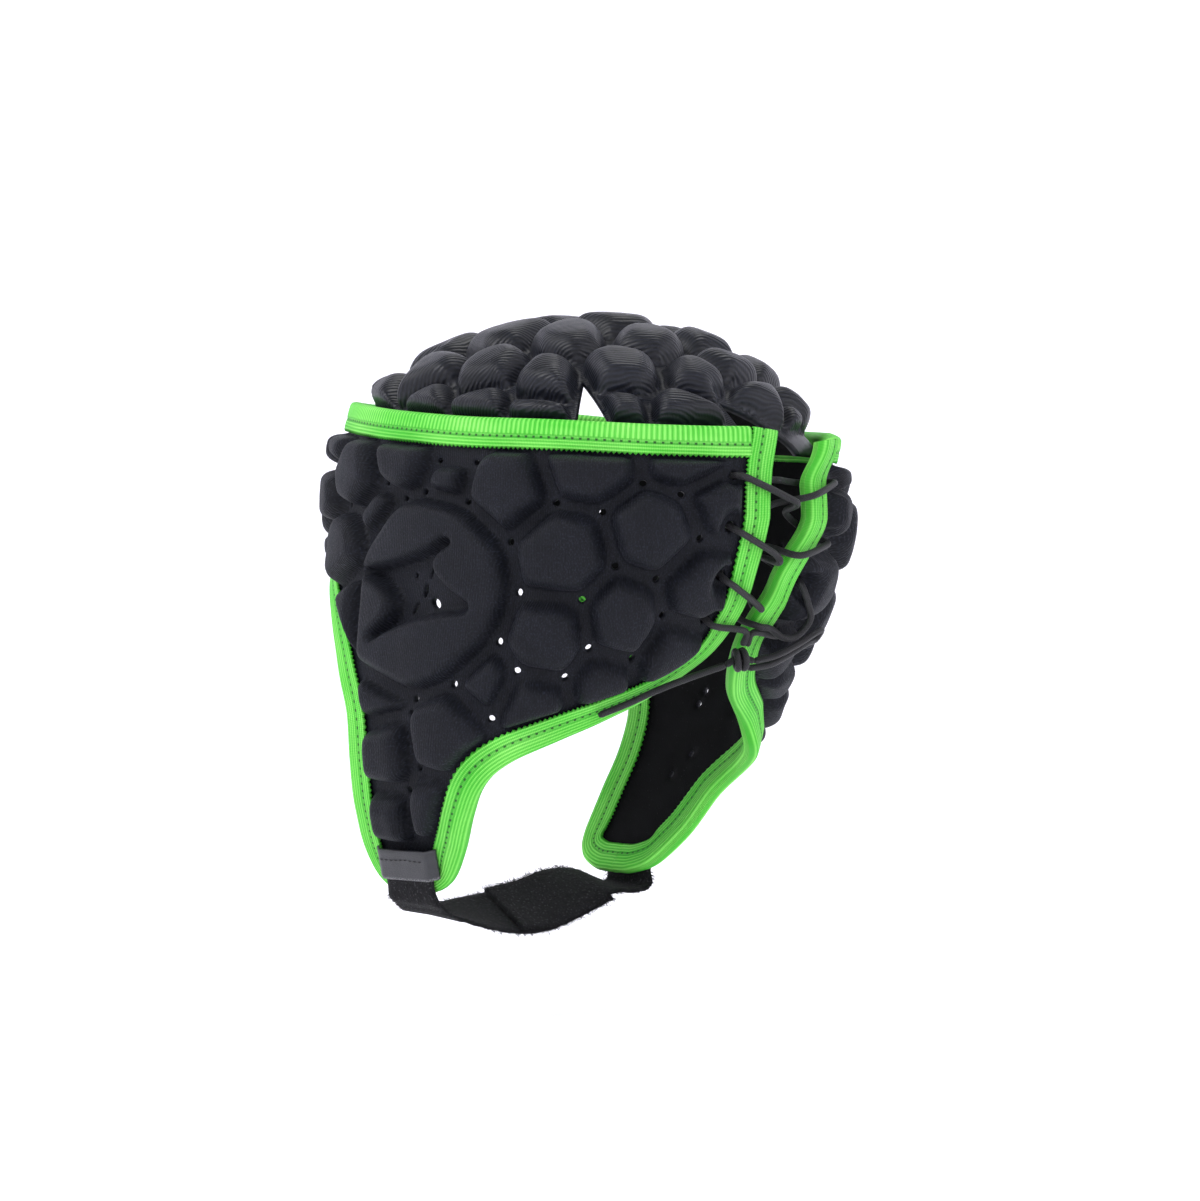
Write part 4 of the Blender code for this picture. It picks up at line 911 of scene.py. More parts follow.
    def build(self, outside: "Finish", lining: "Finish") -> None:
        """Builds both halves and dresses them."""
        for side in Side:
            piece = self.half(side)
            face_outward(piece)
            finish_sheet(piece, outside, lining)
            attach(piece, "root")
            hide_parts("wrap_panel")
            LOG.info("%s: %d triangles", piece.name, len(piece.data.polygons))


@dataclass
class CrownPanel:
    """The moulded sheet over the top of the head, with its notches."""

    fine: float = 0.00112
    coarse: float = 0.0030
    rise: float = 0.0086
    shoulder: float = 0.0074
    dome: float = 0.0014
    valley: float = 0.0024
    rim_step: float = 1.2

    def outline(self) -> Array:
        """The panel's flat edge, cut by the notches."""
        edge: list[Array] = []

        def rim(azimuth: float) -> Array:
            """The rim's place at an azimuth in degrees."""
            reach = float(FORM.top_reach(np.array([math.radians(azimuth)]))[0])
            return FORM.crown_flat(azimuth, reach + SIZES.crown_tuck / SIZES.crown_arc)

        azimuth = 0.0
        for apex, apex_reach, first, last in CROWN_NOTCHES:
            count = max(2, round((first - azimuth) / self.rim_step))
            edge += [rim(azimuth + (first - azimuth) * k / count) for k in range(count)]
            tip = FORM.crown_flat(apex, apex_reach)
            sides = np.array((rim(first), rim(first) * 0.5 + tip * 0.5, tip))
            edge += list(smooth_curve(sides, 14)[:-1])
            sides = np.array((tip, rim(last) * 0.5 + tip * 0.5, rim(last)))
            edge += list(smooth_curve(sides, 14)[:-1])
            azimuth = last
        count = round((360.0 - azimuth) / self.rim_step)
        edge += [rim(azimuth + (360.0 - azimuth) * k / count) for k in range(count)]
        return np.array(edge)

    def build(self, outside: "Finish", lining: "Finish") -> None:
        """Builds the panel and dresses it."""
        outline = self.outline()
        azimuth = np.arctan2(outline[:, 0], -outline[:, 1])
        reach = np.linalg.norm(outline, axis=1)
        kept = np.minimum(reach, FORM.top_reach(azimuth) * SIZES.crown_arc + 0.0015)
        limit = Loop(outline / reach[:, None] * kept[:, None])
        seeds, reaches = [], []
        for index, (angle, at, size) in enumerate(CROWN_PADS):
            for turned in (angle, -angle) if index < MIRRORED_PADS - 1 else (angle,):
                seeds.append(FORM.crown_flat(turned, at))
                reaches.append(size * SIZES.pad_reach)
        pads = PadField(
            np.array(seeds), np.array(reaches), self.rise, self.shoulder, self.dome, 2.2,
            valley=self.valley,
        )

        def height(spots: Array) -> Array:
            """The pads' rise at flat spots."""
            rise, _ = pads.rises(spots, limit.distance(spots) - 0.0012)
            return rise + ripple(spots, 0.0001)

        piece = Sheet(outline, []).built(
            "crown_sheet", FORM.crown, height, self.fine, self.coarse, False,
            lambda spots: np.zeros(len(spots)),
        )
        face_outward(piece)
        finish_sheet(piece, outside, lining)
        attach(piece, "root")
        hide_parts("crown_panel")
        LOG.info("%s: %d triangles", piece.name, len(piece.data.polygons))


@dataclass
class EdgeTape:
    """Elastic tape folded over the wrap's edges, with toothed sides."""

    pitch: float = 0.00095
    tooth: float = 0.00045
    stitch_at: float = 0.56
    stitch_dip: float = 0.00030
    stitch_wide: float = 0.07
    worn: float = 0.0003
    round_end: float = 0.0040
    corner_gap: float = 0.0009
    fold_steps: int = 7
    outer_shares: tuple[float, ...] = (1.0, 0.96, 0.86, 0.74, 0.64, 0.56, 0.48, 0.36, 0.24, 0.10)
    inner_shares: tuple[float, ...] = (0.12, 0.30, 0.48, 0.56, 0.64, 0.80, 0.96, 1.0)
    outer_lining: int = 3

    def dip(self, share: float) -> float:
        """How far the stitches and the worn side draw the tape in, at a share of its width."""
        drawn = self.stitch_dip * math.exp(-(((share - self.stitch_at) / self.stitch_wide) ** 2))
        return drawn + (self.worn if share == 1.0 else 0.0)

    def section(self) -> list[tuple[float, float, float]]:
        """Corners round the tape: share of its width, metres past the edge, and height."""
        wall, gap, sheet = SIZES.tape, SIZES.tape_gap, SIZES.sheet
        high, low = sheet + gap + wall, -gap - wall
        rows = [(share, 0.0, high - self.dip(share)) for share in self.outer_shares]
        middle, half = (high + low) / 2.0, (high - low) / 2.0
        for angle in np.linspace(0.0, math.pi, self.fold_steps):
            past = (gap + wall) * math.sin(angle)
            rows.append((0.0, past, middle + half * math.cos(angle)))
        rows += [(share, 0.0, low + self.dip(share)) for share in self.inner_shares]
        rows += [(1.0, 0.0, -gap), (0.5, 0.0, -gap), (0.0, gap * 0.5, -gap)]
        rows += [(0.0, gap * 0.5, sheet + gap), (0.5, 0.0, sheet + gap), (1.0, 0.0, sheet + gap)]
        return rows

    def stations(self, side: Side, run: Array, first: int, last: int) -> tuple:
        """Side, flat places and steps across the tape for stations first to last."""
        steps = inward_steps(side, run, SIZES.tape_width, 7)
        return side, run[first : last + 1], steps[first : last + 1]

    def build_one(self, name: str, node: str, parts: Sequence[tuple], rounded: bool) -> bpy.types.Object:
        """One tape.

        Args:
            name: the piece's name.
            node: the solid it stands for.
            parts: stations of each half, in order along the tape.
            rounded: whether its last end is cut round.

        Returns:
            The new object.
        """
        rows = self.section()
        columns = []
        for share, past, height in rows:
            column = []
            for side, spots, steps in parts:
                count = len(spots)
                teeth = np.where(np.arange(count) % 2 == 0, 1.0, -1.0) * self.tooth
                reach = np.full(count, share)
                if share == 1.0:
                    reach = reach + teeth / SIZES.tape_width
                out = np.full(count, height)
                if rounded:
                    left = run_lengths(FORM.wrap(side, spots, 0.0))
                    left = (left[-1] - left) / self.round_end
                    cut = np.sqrt(1.0 - np.clip(1.0 - left, 0.0, 0.97) ** 2)
                    reach = 0.5 + (reach - 0.5) * cut
                flat = spots + steps * (reach - past / SIZES.tape_width)[:, None]
                column.append(FORM.wrap(side, flat, out))
            columns.append(np.vstack(column))
        places = np.stack(columns, axis=1)
        count = len(places)
        fold = len(self.outer_shares)
        along = run_lengths(places[:, fold]) * 1000.0
        cross, turn = [], fold + (self.fold_steps + 1) // 2
        for number, (share, past, _) in enumerate(rows):
            sign = 1.0 if number < turn or number >= len(rows) - self.outer_lining else -1.0
            cross.append(sign * (share * SIZES.tape_width - past) * 1000.0)
        pattern = np.column_stack((np.repeat(along, len(rows)), np.tile(cross, count)))
        piece = add_mesh(name, places.reshape(-1, 3), ring_faces(count, len(rows)), pattern)
        face_outward(piece)
        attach(piece, "root")
        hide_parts(node)
        LOG.info("%s: %d faces", name, len(piece.data.polygons))
        return piece

    def build(self, plain: "Finish", ribbed: "Finish") -> None:
        """Builds the four tapes and dresses them."""
        top, back, face = wrap_runs(self.pitch)
        space = SIZES.tape_width + self.corner_gap
        away = np.linalg.norm(top - top[-1], axis=1)
        corner = int(np.argmax(away < space)) - 1
        left = self.stations(Side.LEFT, top, 0, corner)
        right = self.stations(Side.RIGHT, top, 1, corner)
        right = (right[0], right[1][::-1], right[2][::-1])
        piece = self.build_one("top_tape", "top_binding", (right, left), False)
        piece.data.materials.append(ribbed.material())
        left = self.stations(Side.LEFT, face, 0, len(face) - 1)
        right = self.stations(Side.RIGHT, face, 0, len(face) - 2)
        right = (right[0], right[1][::-1], right[2][::-1])
        piece = self.build_one("face_tape", "face_binding", (left, right), False)
        piece.data.materials.append(plain.material())
        for side in Side:
            row = self.stations(side, back, 0, len(back) - 1)
            name = f"nape_tape_{side.name.lower()}"
            piece = self.build_one(name, f"nape_binding_{side.name.lower()}", (row,), side is Side.LEFT)
            piece.data.materials.append(plain.material())


# Chin strap


@dataclass
class ChinStrap:
    """The two hook-and-loop halves of the chin strap, and the patches over their ends."""

    width: float = 0.025
    thick: float = 0.0016
    patch: float = 0.0012
    turn: float = 0.484
    left_rows: int = 9
    right_rows: int = 4
    across: int = 14
    worn_share: float = 1.0 / 12.0
    worn_thin: float = 0.55
    wave_turn: float = 0.9
    wave_tall: float = 0.00025
    fibres: int = 1500
    fibre: float = 0.00007
    fibre_size: float = 0.00042
    fibre_start: float = 0.16
    end_fibres: float = 0.12
    seed: int = 11
    stitch_pitch: float = 0.0026
    stitch_fall: float = 0.024
    stitch_stray: float = 0.0012
    patch_falls: tuple[float, float] = (0.862, 0.946)

    def flap_place(self, side: Side, fall: float, across: float, out: float) -> Array:
        """A place on a flap, across metres from the strap's middle line."""
        middle = FORM.flat([(self.turn, fall)])[0]
        step = np.array((self.width / 2.0, 0.0))
        ends = FORM.wrap(side, np.array((middle + step, middle - step)), out)
        wide = float(np.linalg.norm(ends[0] - ends[1]))
        return FORM.wrap_at(side, middle + step * (2.0 * across / wide), out)

    def flap_row(self, side: Side, fall: float) -> Array:
        """The strap's three inner and three outer places across a flap."""
        half = self.width / 2.0
        inner = np.array([self.flap_place(side, fall, half * k, SIZES.on_tape) for k in (1, 0, -1)])
        outward = self.flap_place(side, fall, 0.0, SIZES.on_tape + 0.001) - inner[1]
        return np.vstack((inner, inner + outward / np.linalg.norm(outward) * self.thick))

    def hanging_rows(self, route: Sequence[Sequence[float]], inner: float) -> list[Array]:
        """Rows of the strap where it hangs free, inner metres inside the route's own face."""
        drop = SIZES.crown_rise + SIZES.flap_drop
        table = np.array(route) * (SIZES.head_half_width, SIZES.head_front, -drop, 1.0)
        table = smooth_curve(table, 2)
        rows = []
        for index, row in enumerate(table):
            after, before = table[min(index + 1, len(table) - 1)], table[max(index - 1, 0)]
            along, lean = after[:3] - before[:3], math.radians(row[3])
            across = np.array((0.0, -math.sin(lean), math.cos(lean)))
            inward = np.cross(along, across)
            inward /= np.linalg.norm(inward)
            across = np.cross(inward, along)
            across *= self.width / 2.0 / np.linalg.norm(across)
            middle = row[:3] + inward * inner
            face = np.array((middle - across, middle, middle + across))
            rows.append(np.vstack((face, face - inward * self.thick)))
        return rows

    def rails(self, side: Side) -> Array:
        """Smooth rails of one half: rows along it of three inner and three outer places."""
        rows = [self.flap_row(side, fall) for fall in STRAP_FALLS]
        if side is Side.LEFT:
            rows += self.hanging_rows(STRAP_ROUTE[: self.left_rows], 0.0)
        else:
            inner = self.thick + SIZES.clearance
            rows += self.hanging_rows(STRAP_ROUTE[self.right_rows :], inner)[::-1]
        flat = np.array([row.ravel() for row in rows])
        return evenly(smooth_curve(flat, 6), 0.0032).reshape(-1, 6, 3)

    def cross_sections(self, rails: Array) -> Array:
        """Rings round the strap at each row of its rails, with soft worn sides."""
        count = len(rails)
        share = np.linspace(-1.0, 1.0, self.across)
        weights = np.column_stack(((share**2 - share) / 2.0, 1.0 - share**2, (share**2 + share) / 2.0))
        inner = np.einsum("kw,nwc->nkc", weights, rails[:, 2::-1])
        outer = np.einsum("kw,nwc->nkc", weights, rails[:, 5:2:-1])
        middle = (inner + outer) / 2.0
        side = 1.0 - np.clip((1.0 - np.abs(share)) / self.worn_share, 0.0, 1.0)
        side = side[None, :, None] * self.worn_thin
        inner = inner + (middle - inner) * side
        outer = outer + (middle - outer) * side
        wave = np.sin(np.arange(count) * self.wave_turn)[:, None, None] * self.wave_tall
        outward = outer - inner
        outer = outer + outward * wave / self.thick
        return np.concatenate((outer, inner[:, ::-1]), axis=1)

    def fuzz(self, rails: Array, name: str, free_end: bool) -> bpy.types.Object:
        """Loose fibres along the strap's two sides and its free end."""
        rng = np.random.default_rng(self.seed + len(name))
        middles = rails.mean(axis=1)
        lengths = run_lengths(middles)
        start = lengths[int(len(lengths) * self.fibre_start)]
        lines = []
        for _ in range(self.fibres):
            at = rng.uniform(start, lengths[-1])
            index = min(int(np.searchsorted(lengths, at)), len(rails) - 1)
            row = rails[index]
            side = rng.choice((0, 2))
            root = row[side] + (row[side + 3] - row[side]) * rng.uniform(0.1, 0.9)
            away = row[side] - row[1]
            if free_end and rng.random() < self.end_fibres:
                row = rails[-1]
                mixed = rng.uniform(0.0, 1.0)
                root = (row[0] * mixed + row[2] * (1.0 - mixed) + row[4] - row[1])
                away = rails[-1, 1] - rails[-3, 1]
            away = away / np.linalg.norm(away)
            size = rng.gamma(2.0, self.fibre_size)
            bend = rng.normal(0.0, 0.75, 3)
            tip = root + (away + bend * 0.6) * size
            middle = root + away * size * 0.6 + rng.normal(0.0, 0.22, 3) * size
            lines.append(np.array((root - away * 0.0003, middle, tip)))
        return add_threads(name, lines, self.fibre)

    def patch_mesh(self, side: Side) -> bpy.types.Object:
        """The smooth patch over a strap's end, raised over the strap and down beside it."""
        falls = np.linspace(*self.patch_falls, 18)
        table = np.array(PATCH_COLUMNS)
        shares = np.linspace(table[0, 0], table[-1, 0], 44)
        highs = np.interp(shares, table[:, 0], table[:, 1])
        highs = np.convolve(np.pad(highs, 2, "edge"), (0.1, 0.2, 0.4, 0.2, 0.1), "valid")
        grid = {}
        for level in (0, 1):
            rows = []
            for row, fall in enumerate(falls):
                edge = 0.0003 if row in (0, len(falls) - 1) else 0.0
                for share, high in zip(shares, highs):
                    rim = 0.0003 if abs(share) > 1.22 else 0.0
                    out = SIZES.on_tape + (self.thick + SIZES.clearance) * high
                    out += (self.patch - max(rim, edge)) * level
                    rows.append(self.flap_place(side, fall, share * self.width / 2.0, out))
            grid[level] = np.array(rows)
        wide, tall = len(shares), len(falls)
        faces, count = [], wide * tall
        for row in range(tall - 1):
            for column in range(wide - 1):
                a = row * wide + column
                faces.append((a, a + 1, a + wide + 1, a + wide)[::-1])
                faces.append(tuple(count + k for k in (a, a + 1, a + wide + 1, a + wide)))
        border = [k for k in range(wide)] + [wide * (k + 1) - 1 for k in range(1, tall)]
        border += [count - 1 - k for k in range(1, wide)] + [wide * k for k in range(tall - 2, 0, -1)]
        for a, b in zip(border, border[1:] + border[:1]):
            faces.append((a, b, count + b, count + a))
        flat = np.array(
            [(s * self.width * 500.0, f * SIZES.flap_drop * 1000.0) for f in falls for s in shares]
        )
        piece = add_mesh(
            f"patch_{side.name.lower()}", np.vstack((grid[0], grid[1])), faces, np.vstack((flat, flat))
        )
        face_outward(piece)
        return piece

    def patch_stitches(self, side: Side) -> bpy.types.Object:
        """The row of stitches along the patch's top."""
        lines = []
        fall = self.patch_falls[0] + self.stitch_fall
        span = self.width * 1.02
        reach = self.stitch_pitch * 0.34
        out = SIZES.on_tape + self.thick + SIZES.clearance + self.patch
        for k in range(int(span / self.stitch_pitch)):
            at = -span / 2.0 + (k + 0.5) * self.stitch_pitch
            line = [
                self.flap_place(side, fall + self.stitch_stray * math.sin(k), x, out + lift)
                for x, lift in zip((at - reach, at, at + reach), (-0.0001, 0.00022, -0.0001))
            ]
            lines.append(np.array(line))
        return add_threads(f"patch_stitches_{side.name.lower()}", lines, 0.00026)

    def build(self, pile: "Finish", leatherette: "Finish", thread: "Finish") -> None:
        """Builds both halves, their fibres, and the patches."""
        for side in Side:
            name = side.name.lower()
            rails = self.rails(side)
            rings = self.cross_sections(rails)
            count, around = rings.shape[:2]
            along = run_lengths(rails.mean(axis=1)) * 1000.0
            half = self.width * 500.0
            line = np.linspace(-half, half, self.across)
            cross = np.concatenate((line, line[::-1]))
            pattern = np.column_stack((np.repeat(along, around), np.tile(cross, count)))
            strap = add_mesh(
                f"strap_{name}", rings.reshape(-1, 3), ring_faces(count, around), pattern
            )
            face_outward(strap)
            fuzz = self.fuzz(rails, f"strap_fuzz_{name}", side is Side.LEFT)
            patch, stitches = self.patch_mesh(side), self.patch_stitches(side)
            dressed = ((strap, pile), (fuzz, pile), (patch, leatherette), (stitches, thread))
            for piece, finish in dressed:
                piece.data.materials.append(finish.material())
                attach(piece, "root")
            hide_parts(f"chin_strap_{name}")
            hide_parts(f"strap_patch_{name}")


# Lacing


@dataclass
class Lacing:
    """The elastic cord through the eyelets, its knot and its two free ends."""

    cord: float = 0.0026
    eyelet: float = 0.0052
    ease: float = 0.0005
    past: float = 0.0010
    cross_over: float = 0.0066
    cross_under: float = -0.0036
    knot_out: float = 0.0110
    knot_reach: float = 0.0057
    knot_loop: float = 0.0030
    bow_reach: float = 0.020

    @property
    def eyelet_reach(self) -> float:
        """How far in from the edge the eyelets lie."""
        return SIZES.tape_width + 2.0 * SIZES.clearance + self.eyelet / 2.0 + self.ease

    def levels(self, over: bool) -> list[tuple[float, float]]:
        """Distance from an eyelet's middle and height, for a strand over or under the tape."""
        room = SIZES.tape_gap + SIZES.clearance + self.cord / 2.0 + self.ease
        high, low = SIZES.sheet + SIZES.tape + room, -SIZES.tape - room
        rim = self.eyelet / 2.0 + 2.0 * SIZES.clearance
        clear = rim + SIZES.tape_width + SIZES.tape + SIZES.tape_gap + SIZES.clearance
        clear += self.cord / 2.0 + self.past
        if over:
            return [(0.0, SIZES.sheet / 2.0), (0.2 * rim, 0.8 * high), (rim, high), (clear, high)]
        return [(0.0, SIZES.sheet / 2.0), (0.2 * rim, 0.75 * low), (rim, low), (clear, low)]

    def strand(
        self, side: Side, start: Array, end: Array, start_over: bool, end_over: bool, crossing: float
    ) -> list[Array]:
        """Places of one strand from an eyelet to one on the other side.

        Args:
            side: the side that the strand starts on.
            start: flat place of its first eyelet.
            end: flat place of its last eyelet, on that one's own side.
            start_over: whether it runs over the tape at its start.
            end_over: whether it runs over the tape at its end.
            crossing: its height halfway over the gap.

        Returns:
            Nine places.
        """
        other = Side.RIGHT if side is Side.LEFT else Side.LEFT
        places, heights = [], []
        for at, here, there, over in ((side, start, end, start_over), (other, end, start, end_over)):
            way = np.array((2.0 * FORM.half_girth - there[0], there[1])) - here
            way /= np.linalg.norm(way)
            rows = self.levels(over)
            reach = rows[-1][0] / way[0]
            run = FORM.wrap_at(at, here + way * reach, 0.0) - FORM.wrap_at(at, here, 0.0)
            stretch = reach / float(np.linalg.norm(run))
            places.append(
                [FORM.wrap_at(at, here + way * (far / way[0] * stretch), out) for far, out in rows]
            )
            heights.append(rows[-1][1])
        middle = np.array((FORM.half_girth, (start[1] + end[1]) / 2.0))
        outward = FORM.wrap_at(Side.LEFT, middle, 1.0) - FORM.wrap_at(Side.LEFT, middle, 0.0)
        rise = crossing - sum(heights) / 2.0
        halfway = (places[0][-1] + places[1][-1]) / 2.0 + outward * rise
        return places[0] + [halfway] + places[1][::-1]

    def knot(self) -> Array:
        """The knot's middle."""
        return FORM.wrap_at(Side.LEFT, FORM.flat([KNOT_SPOT])[0], self.knot_out)

    def towards(self, place: Array) -> Array:
        """Where a strand from the knot's middle to a place comes out of the knot."""
        run = place - self.knot()
        return self.knot() + run * self.knot_reach / np.linalg.norm(run)

    def lace_line(self) -> Array:
        """The lace's line from the knot up through the eyelets and back down."""
        left = eyelet_spots(Side.LEFT, self.eyelet_reach)
        right = eyelet_spots(Side.RIGHT, self.eyelet_reach)
        over, under = self.cross_over, self.cross_under
        down = self.strand(Side.RIGHT, right[3], left[3], True, True, 0.0)[:4]
        places = [self.towards(down[3])] + down[::-1]
        places += self.strand(Side.RIGHT, right[3], left[2], False, True, over)[1:]
        places += self.strand(Side.LEFT, left[2], right[1], False, True, under)[1:]
        places += self.strand(Side.RIGHT, right[1], left[0], False, True, over)[1:]
        places += self.strand(Side.LEFT, left[0], right[0], False, False, -self.cord)[1:]
        places += self.strand(Side.RIGHT, right[0], left[1], True, False, under)[1:]
        places += self.strand(Side.LEFT, left[1], right[2], True, False, over)[1:]
        last = self.strand(Side.RIGHT, right[2], left[3], True, False, under)
        places += last[1:2]
        for across, fall, out in LACE_BOW:
            spot = right[2] - np.array((across, -fall)) * self.bow_reach
            places.append(FORM.wrap_at(Side.RIGHT, spot, out * self.bow_reach))
        places += last[5:]
        down = self.strand(Side.LEFT, left[3], right[3], True, True, 0.0)[:4]
        places += down[1:] + [self.towards(down[3])]
        return smooth_curve(np.array(places), 6)

    def tail_line(self, route: Sequence[Sequence[float]], folded: bool) -> Array:
        """A free end's line, which comes back to the knot where it is folded."""
        places = []
        for side, turn, fall, out in route:
            spot = FORM.flat([(turn, fall)])[0]
            places.append(FORM.wrap_at(Side(side), spot, out * self.knot_out))
        places[0] = self.towards(places[0])
        if folded:
            places[-1] = self.towards(places[-1])
        return evenly(smooth_curve(np.array(places), 12), 0.0012)

    def knot_lines(self) -> list[Array]:
        """The knot's turns: two loops round the tails, and the strands through them."""
        knot = self.knot()
        left, right = self.tail_line(TAIL_LEFT, False)[0], self.tail_line(TAIL_RIGHT, True)[0]
        along = left - right
        along /= np.linalg.norm(along)
        up = np.cross(along, (0.3, 1.0, 0.2))
        up /= np.linalg.norm(up)
        out = np.cross(along, up)
        angle = np.linspace(0.0, 2.0 * math.pi, 30)
        lines = []
        for shift, lean in ((-0.0013, 0.35), (0.0013, -0.2)):
            ring = np.cos(angle)[:, None] * up * 1.12 + np.sin(angle)[:, None] * out * 0.86
            ring = ring * self.knot_loop + along * (shift + 0.0012 * lean * np.sin(angle)[:, None])
            lines.append(knot + ring)
        ends = np.array((left, knot + up * 0.0008, right))
        lines.append(smooth_curve(ends, 10))
        return lines

    def build(self, braid: "Finish") -> None:
        pieces = {"lace": add_tube("lace_cord", self.lace_line(), self.cord / 2.0)}
        knot = [
            add_tube(f"knot_turn_{k}", line, self.cord / 2.0) for k, line in enumerate(self.knot_lines())
        ]
        for piece in knot:
            pieces[piece.name] = piece
        tails = ((TAIL_LEFT, False, "left", "bare"), (TAIL_RIGHT, True, "right", "object"))
        for route, folded, name, far_end in tails:
            line = self.tail_line(route, folded)
            tail = add_tube(f"tail_{name}", line, self.cord / 2.0)
            pieces[f"lace_tail_{name}"] = tail
        for node, piece in pieces.items():
            piece.data.materials.append(braid.material())
            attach(piece, "root")
            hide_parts("lace_knot" if piece in knot else node)


# Shader maths


class Wire:
    """A socket whose arithmetic adds Math nodes to its shader."""

    def __init__(self, shader: "Shader", socket: bpy.types.NodeSocket) -> None:
        self.shader = shader
        self.socket = socket

    def __add__(self, other: "Wire | float") -> "Wire":
        """The sum."""
        return self.shader.math("ADD", self, other)

    def __sub__(self, other: "Wire | float") -> "Wire":
        """The difference."""
        return self.shader.math("SUBTRACT", self, other)

    def __rsub__(self, other: float) -> "Wire":
        """The difference from a number."""
        return self.shader.math("SUBTRACT", other, self)

    def __mul__(self, other: "Wire | float") -> "Wire":
        """The product."""
        return self.shader.math("MULTIPLY", self, other)

    def __truediv__(self, other: "Wire | float") -> "Wire":
        """The quotient."""
        return self.shader.math("DIVIDE", self, other)

    __radd__ = __add__
    __rmul__ = __mul__

    def size(self) -> "Wire":
        """The value without its sign."""
        return self.shader.math("ABSOLUTE", self)

    def wave(self, pitch: float) -> "Wire":
        """A wave from 0 to 1 along the value, one crest for each pitch."""
        turned = self * (2.0 * math.pi / pitch)
        return self.shader.math("COSINE", turned) * 0.5 + 0.5

    def between(self, low: float, high: float) -> "Wire":
        """0 below low and 1 above high, smooth in between."""
        return self.shader.node(
            "ShaderNodeMapRange",
            {"interpolation_type": "SMOOTHSTEP"},
            {"Value": self, "From Min": low, "From Max": high},
        )


class Shader:
    """One material's nodes, round one principled shader."""

    def __init__(self, name: str) -> None:
        self.material = bpy.data.materials.new(name)
        self.material.use_nodes = True
        self.tree = self.material.node_tree
        self.tree.nodes.clear()
        self.surface = self.tree.nodes.new("ShaderNodeBsdfPrincipled")
        output = self.tree.nodes.new("ShaderNodeOutputMaterial")
        self.tree.links.new(self.surface.outputs["BSDF"], output.inputs["Surface"])

    def node(self, kind: str, settings: dict, inputs: dict, output: int | str = 0) -> Wire:
        """Adds a node.

        Args:
            kind: the node's type.
            settings: its settings, which are set first.
            inputs: a value or a wire for each of its sockets, by name or number.
            output: the socket to carry on from.

        Returns:
            That socket's wire.
        """
        made = self.tree.nodes.new(kind)
        for key, value in settings.items():
            setattr(made, key, value)
        for key, value in inputs.items():
            self.feed(made.inputs[key], value)
        return Wire(self, made.outputs[output])

    def feed(self, socket: bpy.types.NodeSocket, value: Wire | float | tuple) -> None:
        """Links a wire to a socket, or sets its value."""
        if isinstance(value, Wire):
            self.tree.links.new(value.socket, socket)
        elif isinstance(value, tuple) and len(value) == 3 and socket.type == "RGBA":
            socket.default_value = (*value, 1.0)
        else:
            socket.default_value = value

    def math(self, operation: str, *values: Wire | float) -> Wire:
        """A Math node on one or more values."""
        return self.node("ShaderNodeMath", {"operation": operation}, dict(enumerate(values)))

    def mix(self, share: Wire | float, first: Wire | tuple, second: Wire | tuple) -> Wire:
        """The first colour, turning to the second as share goes from 0 to 1."""
        inputs = {"Factor": share, 6: first, 7: second}
        return self.node("ShaderNodeMix", {"data_type": "RGBA"}, inputs, 2)

    def flat(self) -> tuple[Wire, Wire]:
        """The piece's flat pattern, in millimetres."""
        place = self.node("ShaderNodeUVMap", {"uv_map": "pattern"}, {})
        parts = self.node("ShaderNodeSeparateXYZ", {}, {0: place})
        return parts, Wire(self, parts.socket.node.outputs[1])

    def noise(self, x: Wire, y: Wire, grain: tuple[float, float], detail: float = 2.0) -> Wire:
        """Noise over the flat pattern, with grains of that many millimetres each way."""
        place = self.node("ShaderNodeCombineXYZ", {}, {0: x / grain[0], 1: y / grain[1]})
        return self.node(
            "ShaderNodeTexNoise", {"noise_dimensions": "2D"},
            {"Vector": place, "Scale": 1.0, "Detail": detail},
        )

    def round_noise(self, grain: float, detail: float = 2.0) -> Wire:
        """Noise in space, with grains of that many millimetres."""
        place = self.node("ShaderNodeTexCoord", {}, {}, "Object")
        return self.node(
            "ShaderNodeTexNoise", {}, {"Vector": place, "Scale": 1000.0 / grain, "Detail": detail}
        )

    def made(
        self, colour: Wire | tuple, rough: Wire | float, relief: Wire, depth: float, **even: float
    ) -> bpy.types.Material:
        """Feeds the shader.

        Args:
            colour: its base colour.
            rough: its roughness.
            relief: a height from 0 to 1.
            depth: the relief's depth in metres.
            even: values of sockets that don't vary, with _ for a space.

        Returns:
            The material.
        """
        self.feed(self.surface.inputs["Base Color"], colour)
        self.feed(self.surface.inputs["Roughness"], rough)
        bump = self.node("ShaderNodeBump", {}, {"Strength": 1.0, "Distance": depth, "Height": relief})
        self.feed(self.surface.inputs["Normal"], bump)
        for key, value in even.items():
            self.feed(self.surface.inputs[key.replace("_", " ")], value)
        return self.material


# Finishes


@dataclass(frozen=True)
class Finish:
    """A finish that several pieces may share."""

    name: str

    def material(self) -> bpy.types.Material:
        """The finish's material, made once."""
        return bpy.data.materials.get(self.name) or self.make(Shader(self.name))

    def make(self, shader: Shader) -> bpy.types.Material:
        """Makes the material."""
        raise NotImplementedError


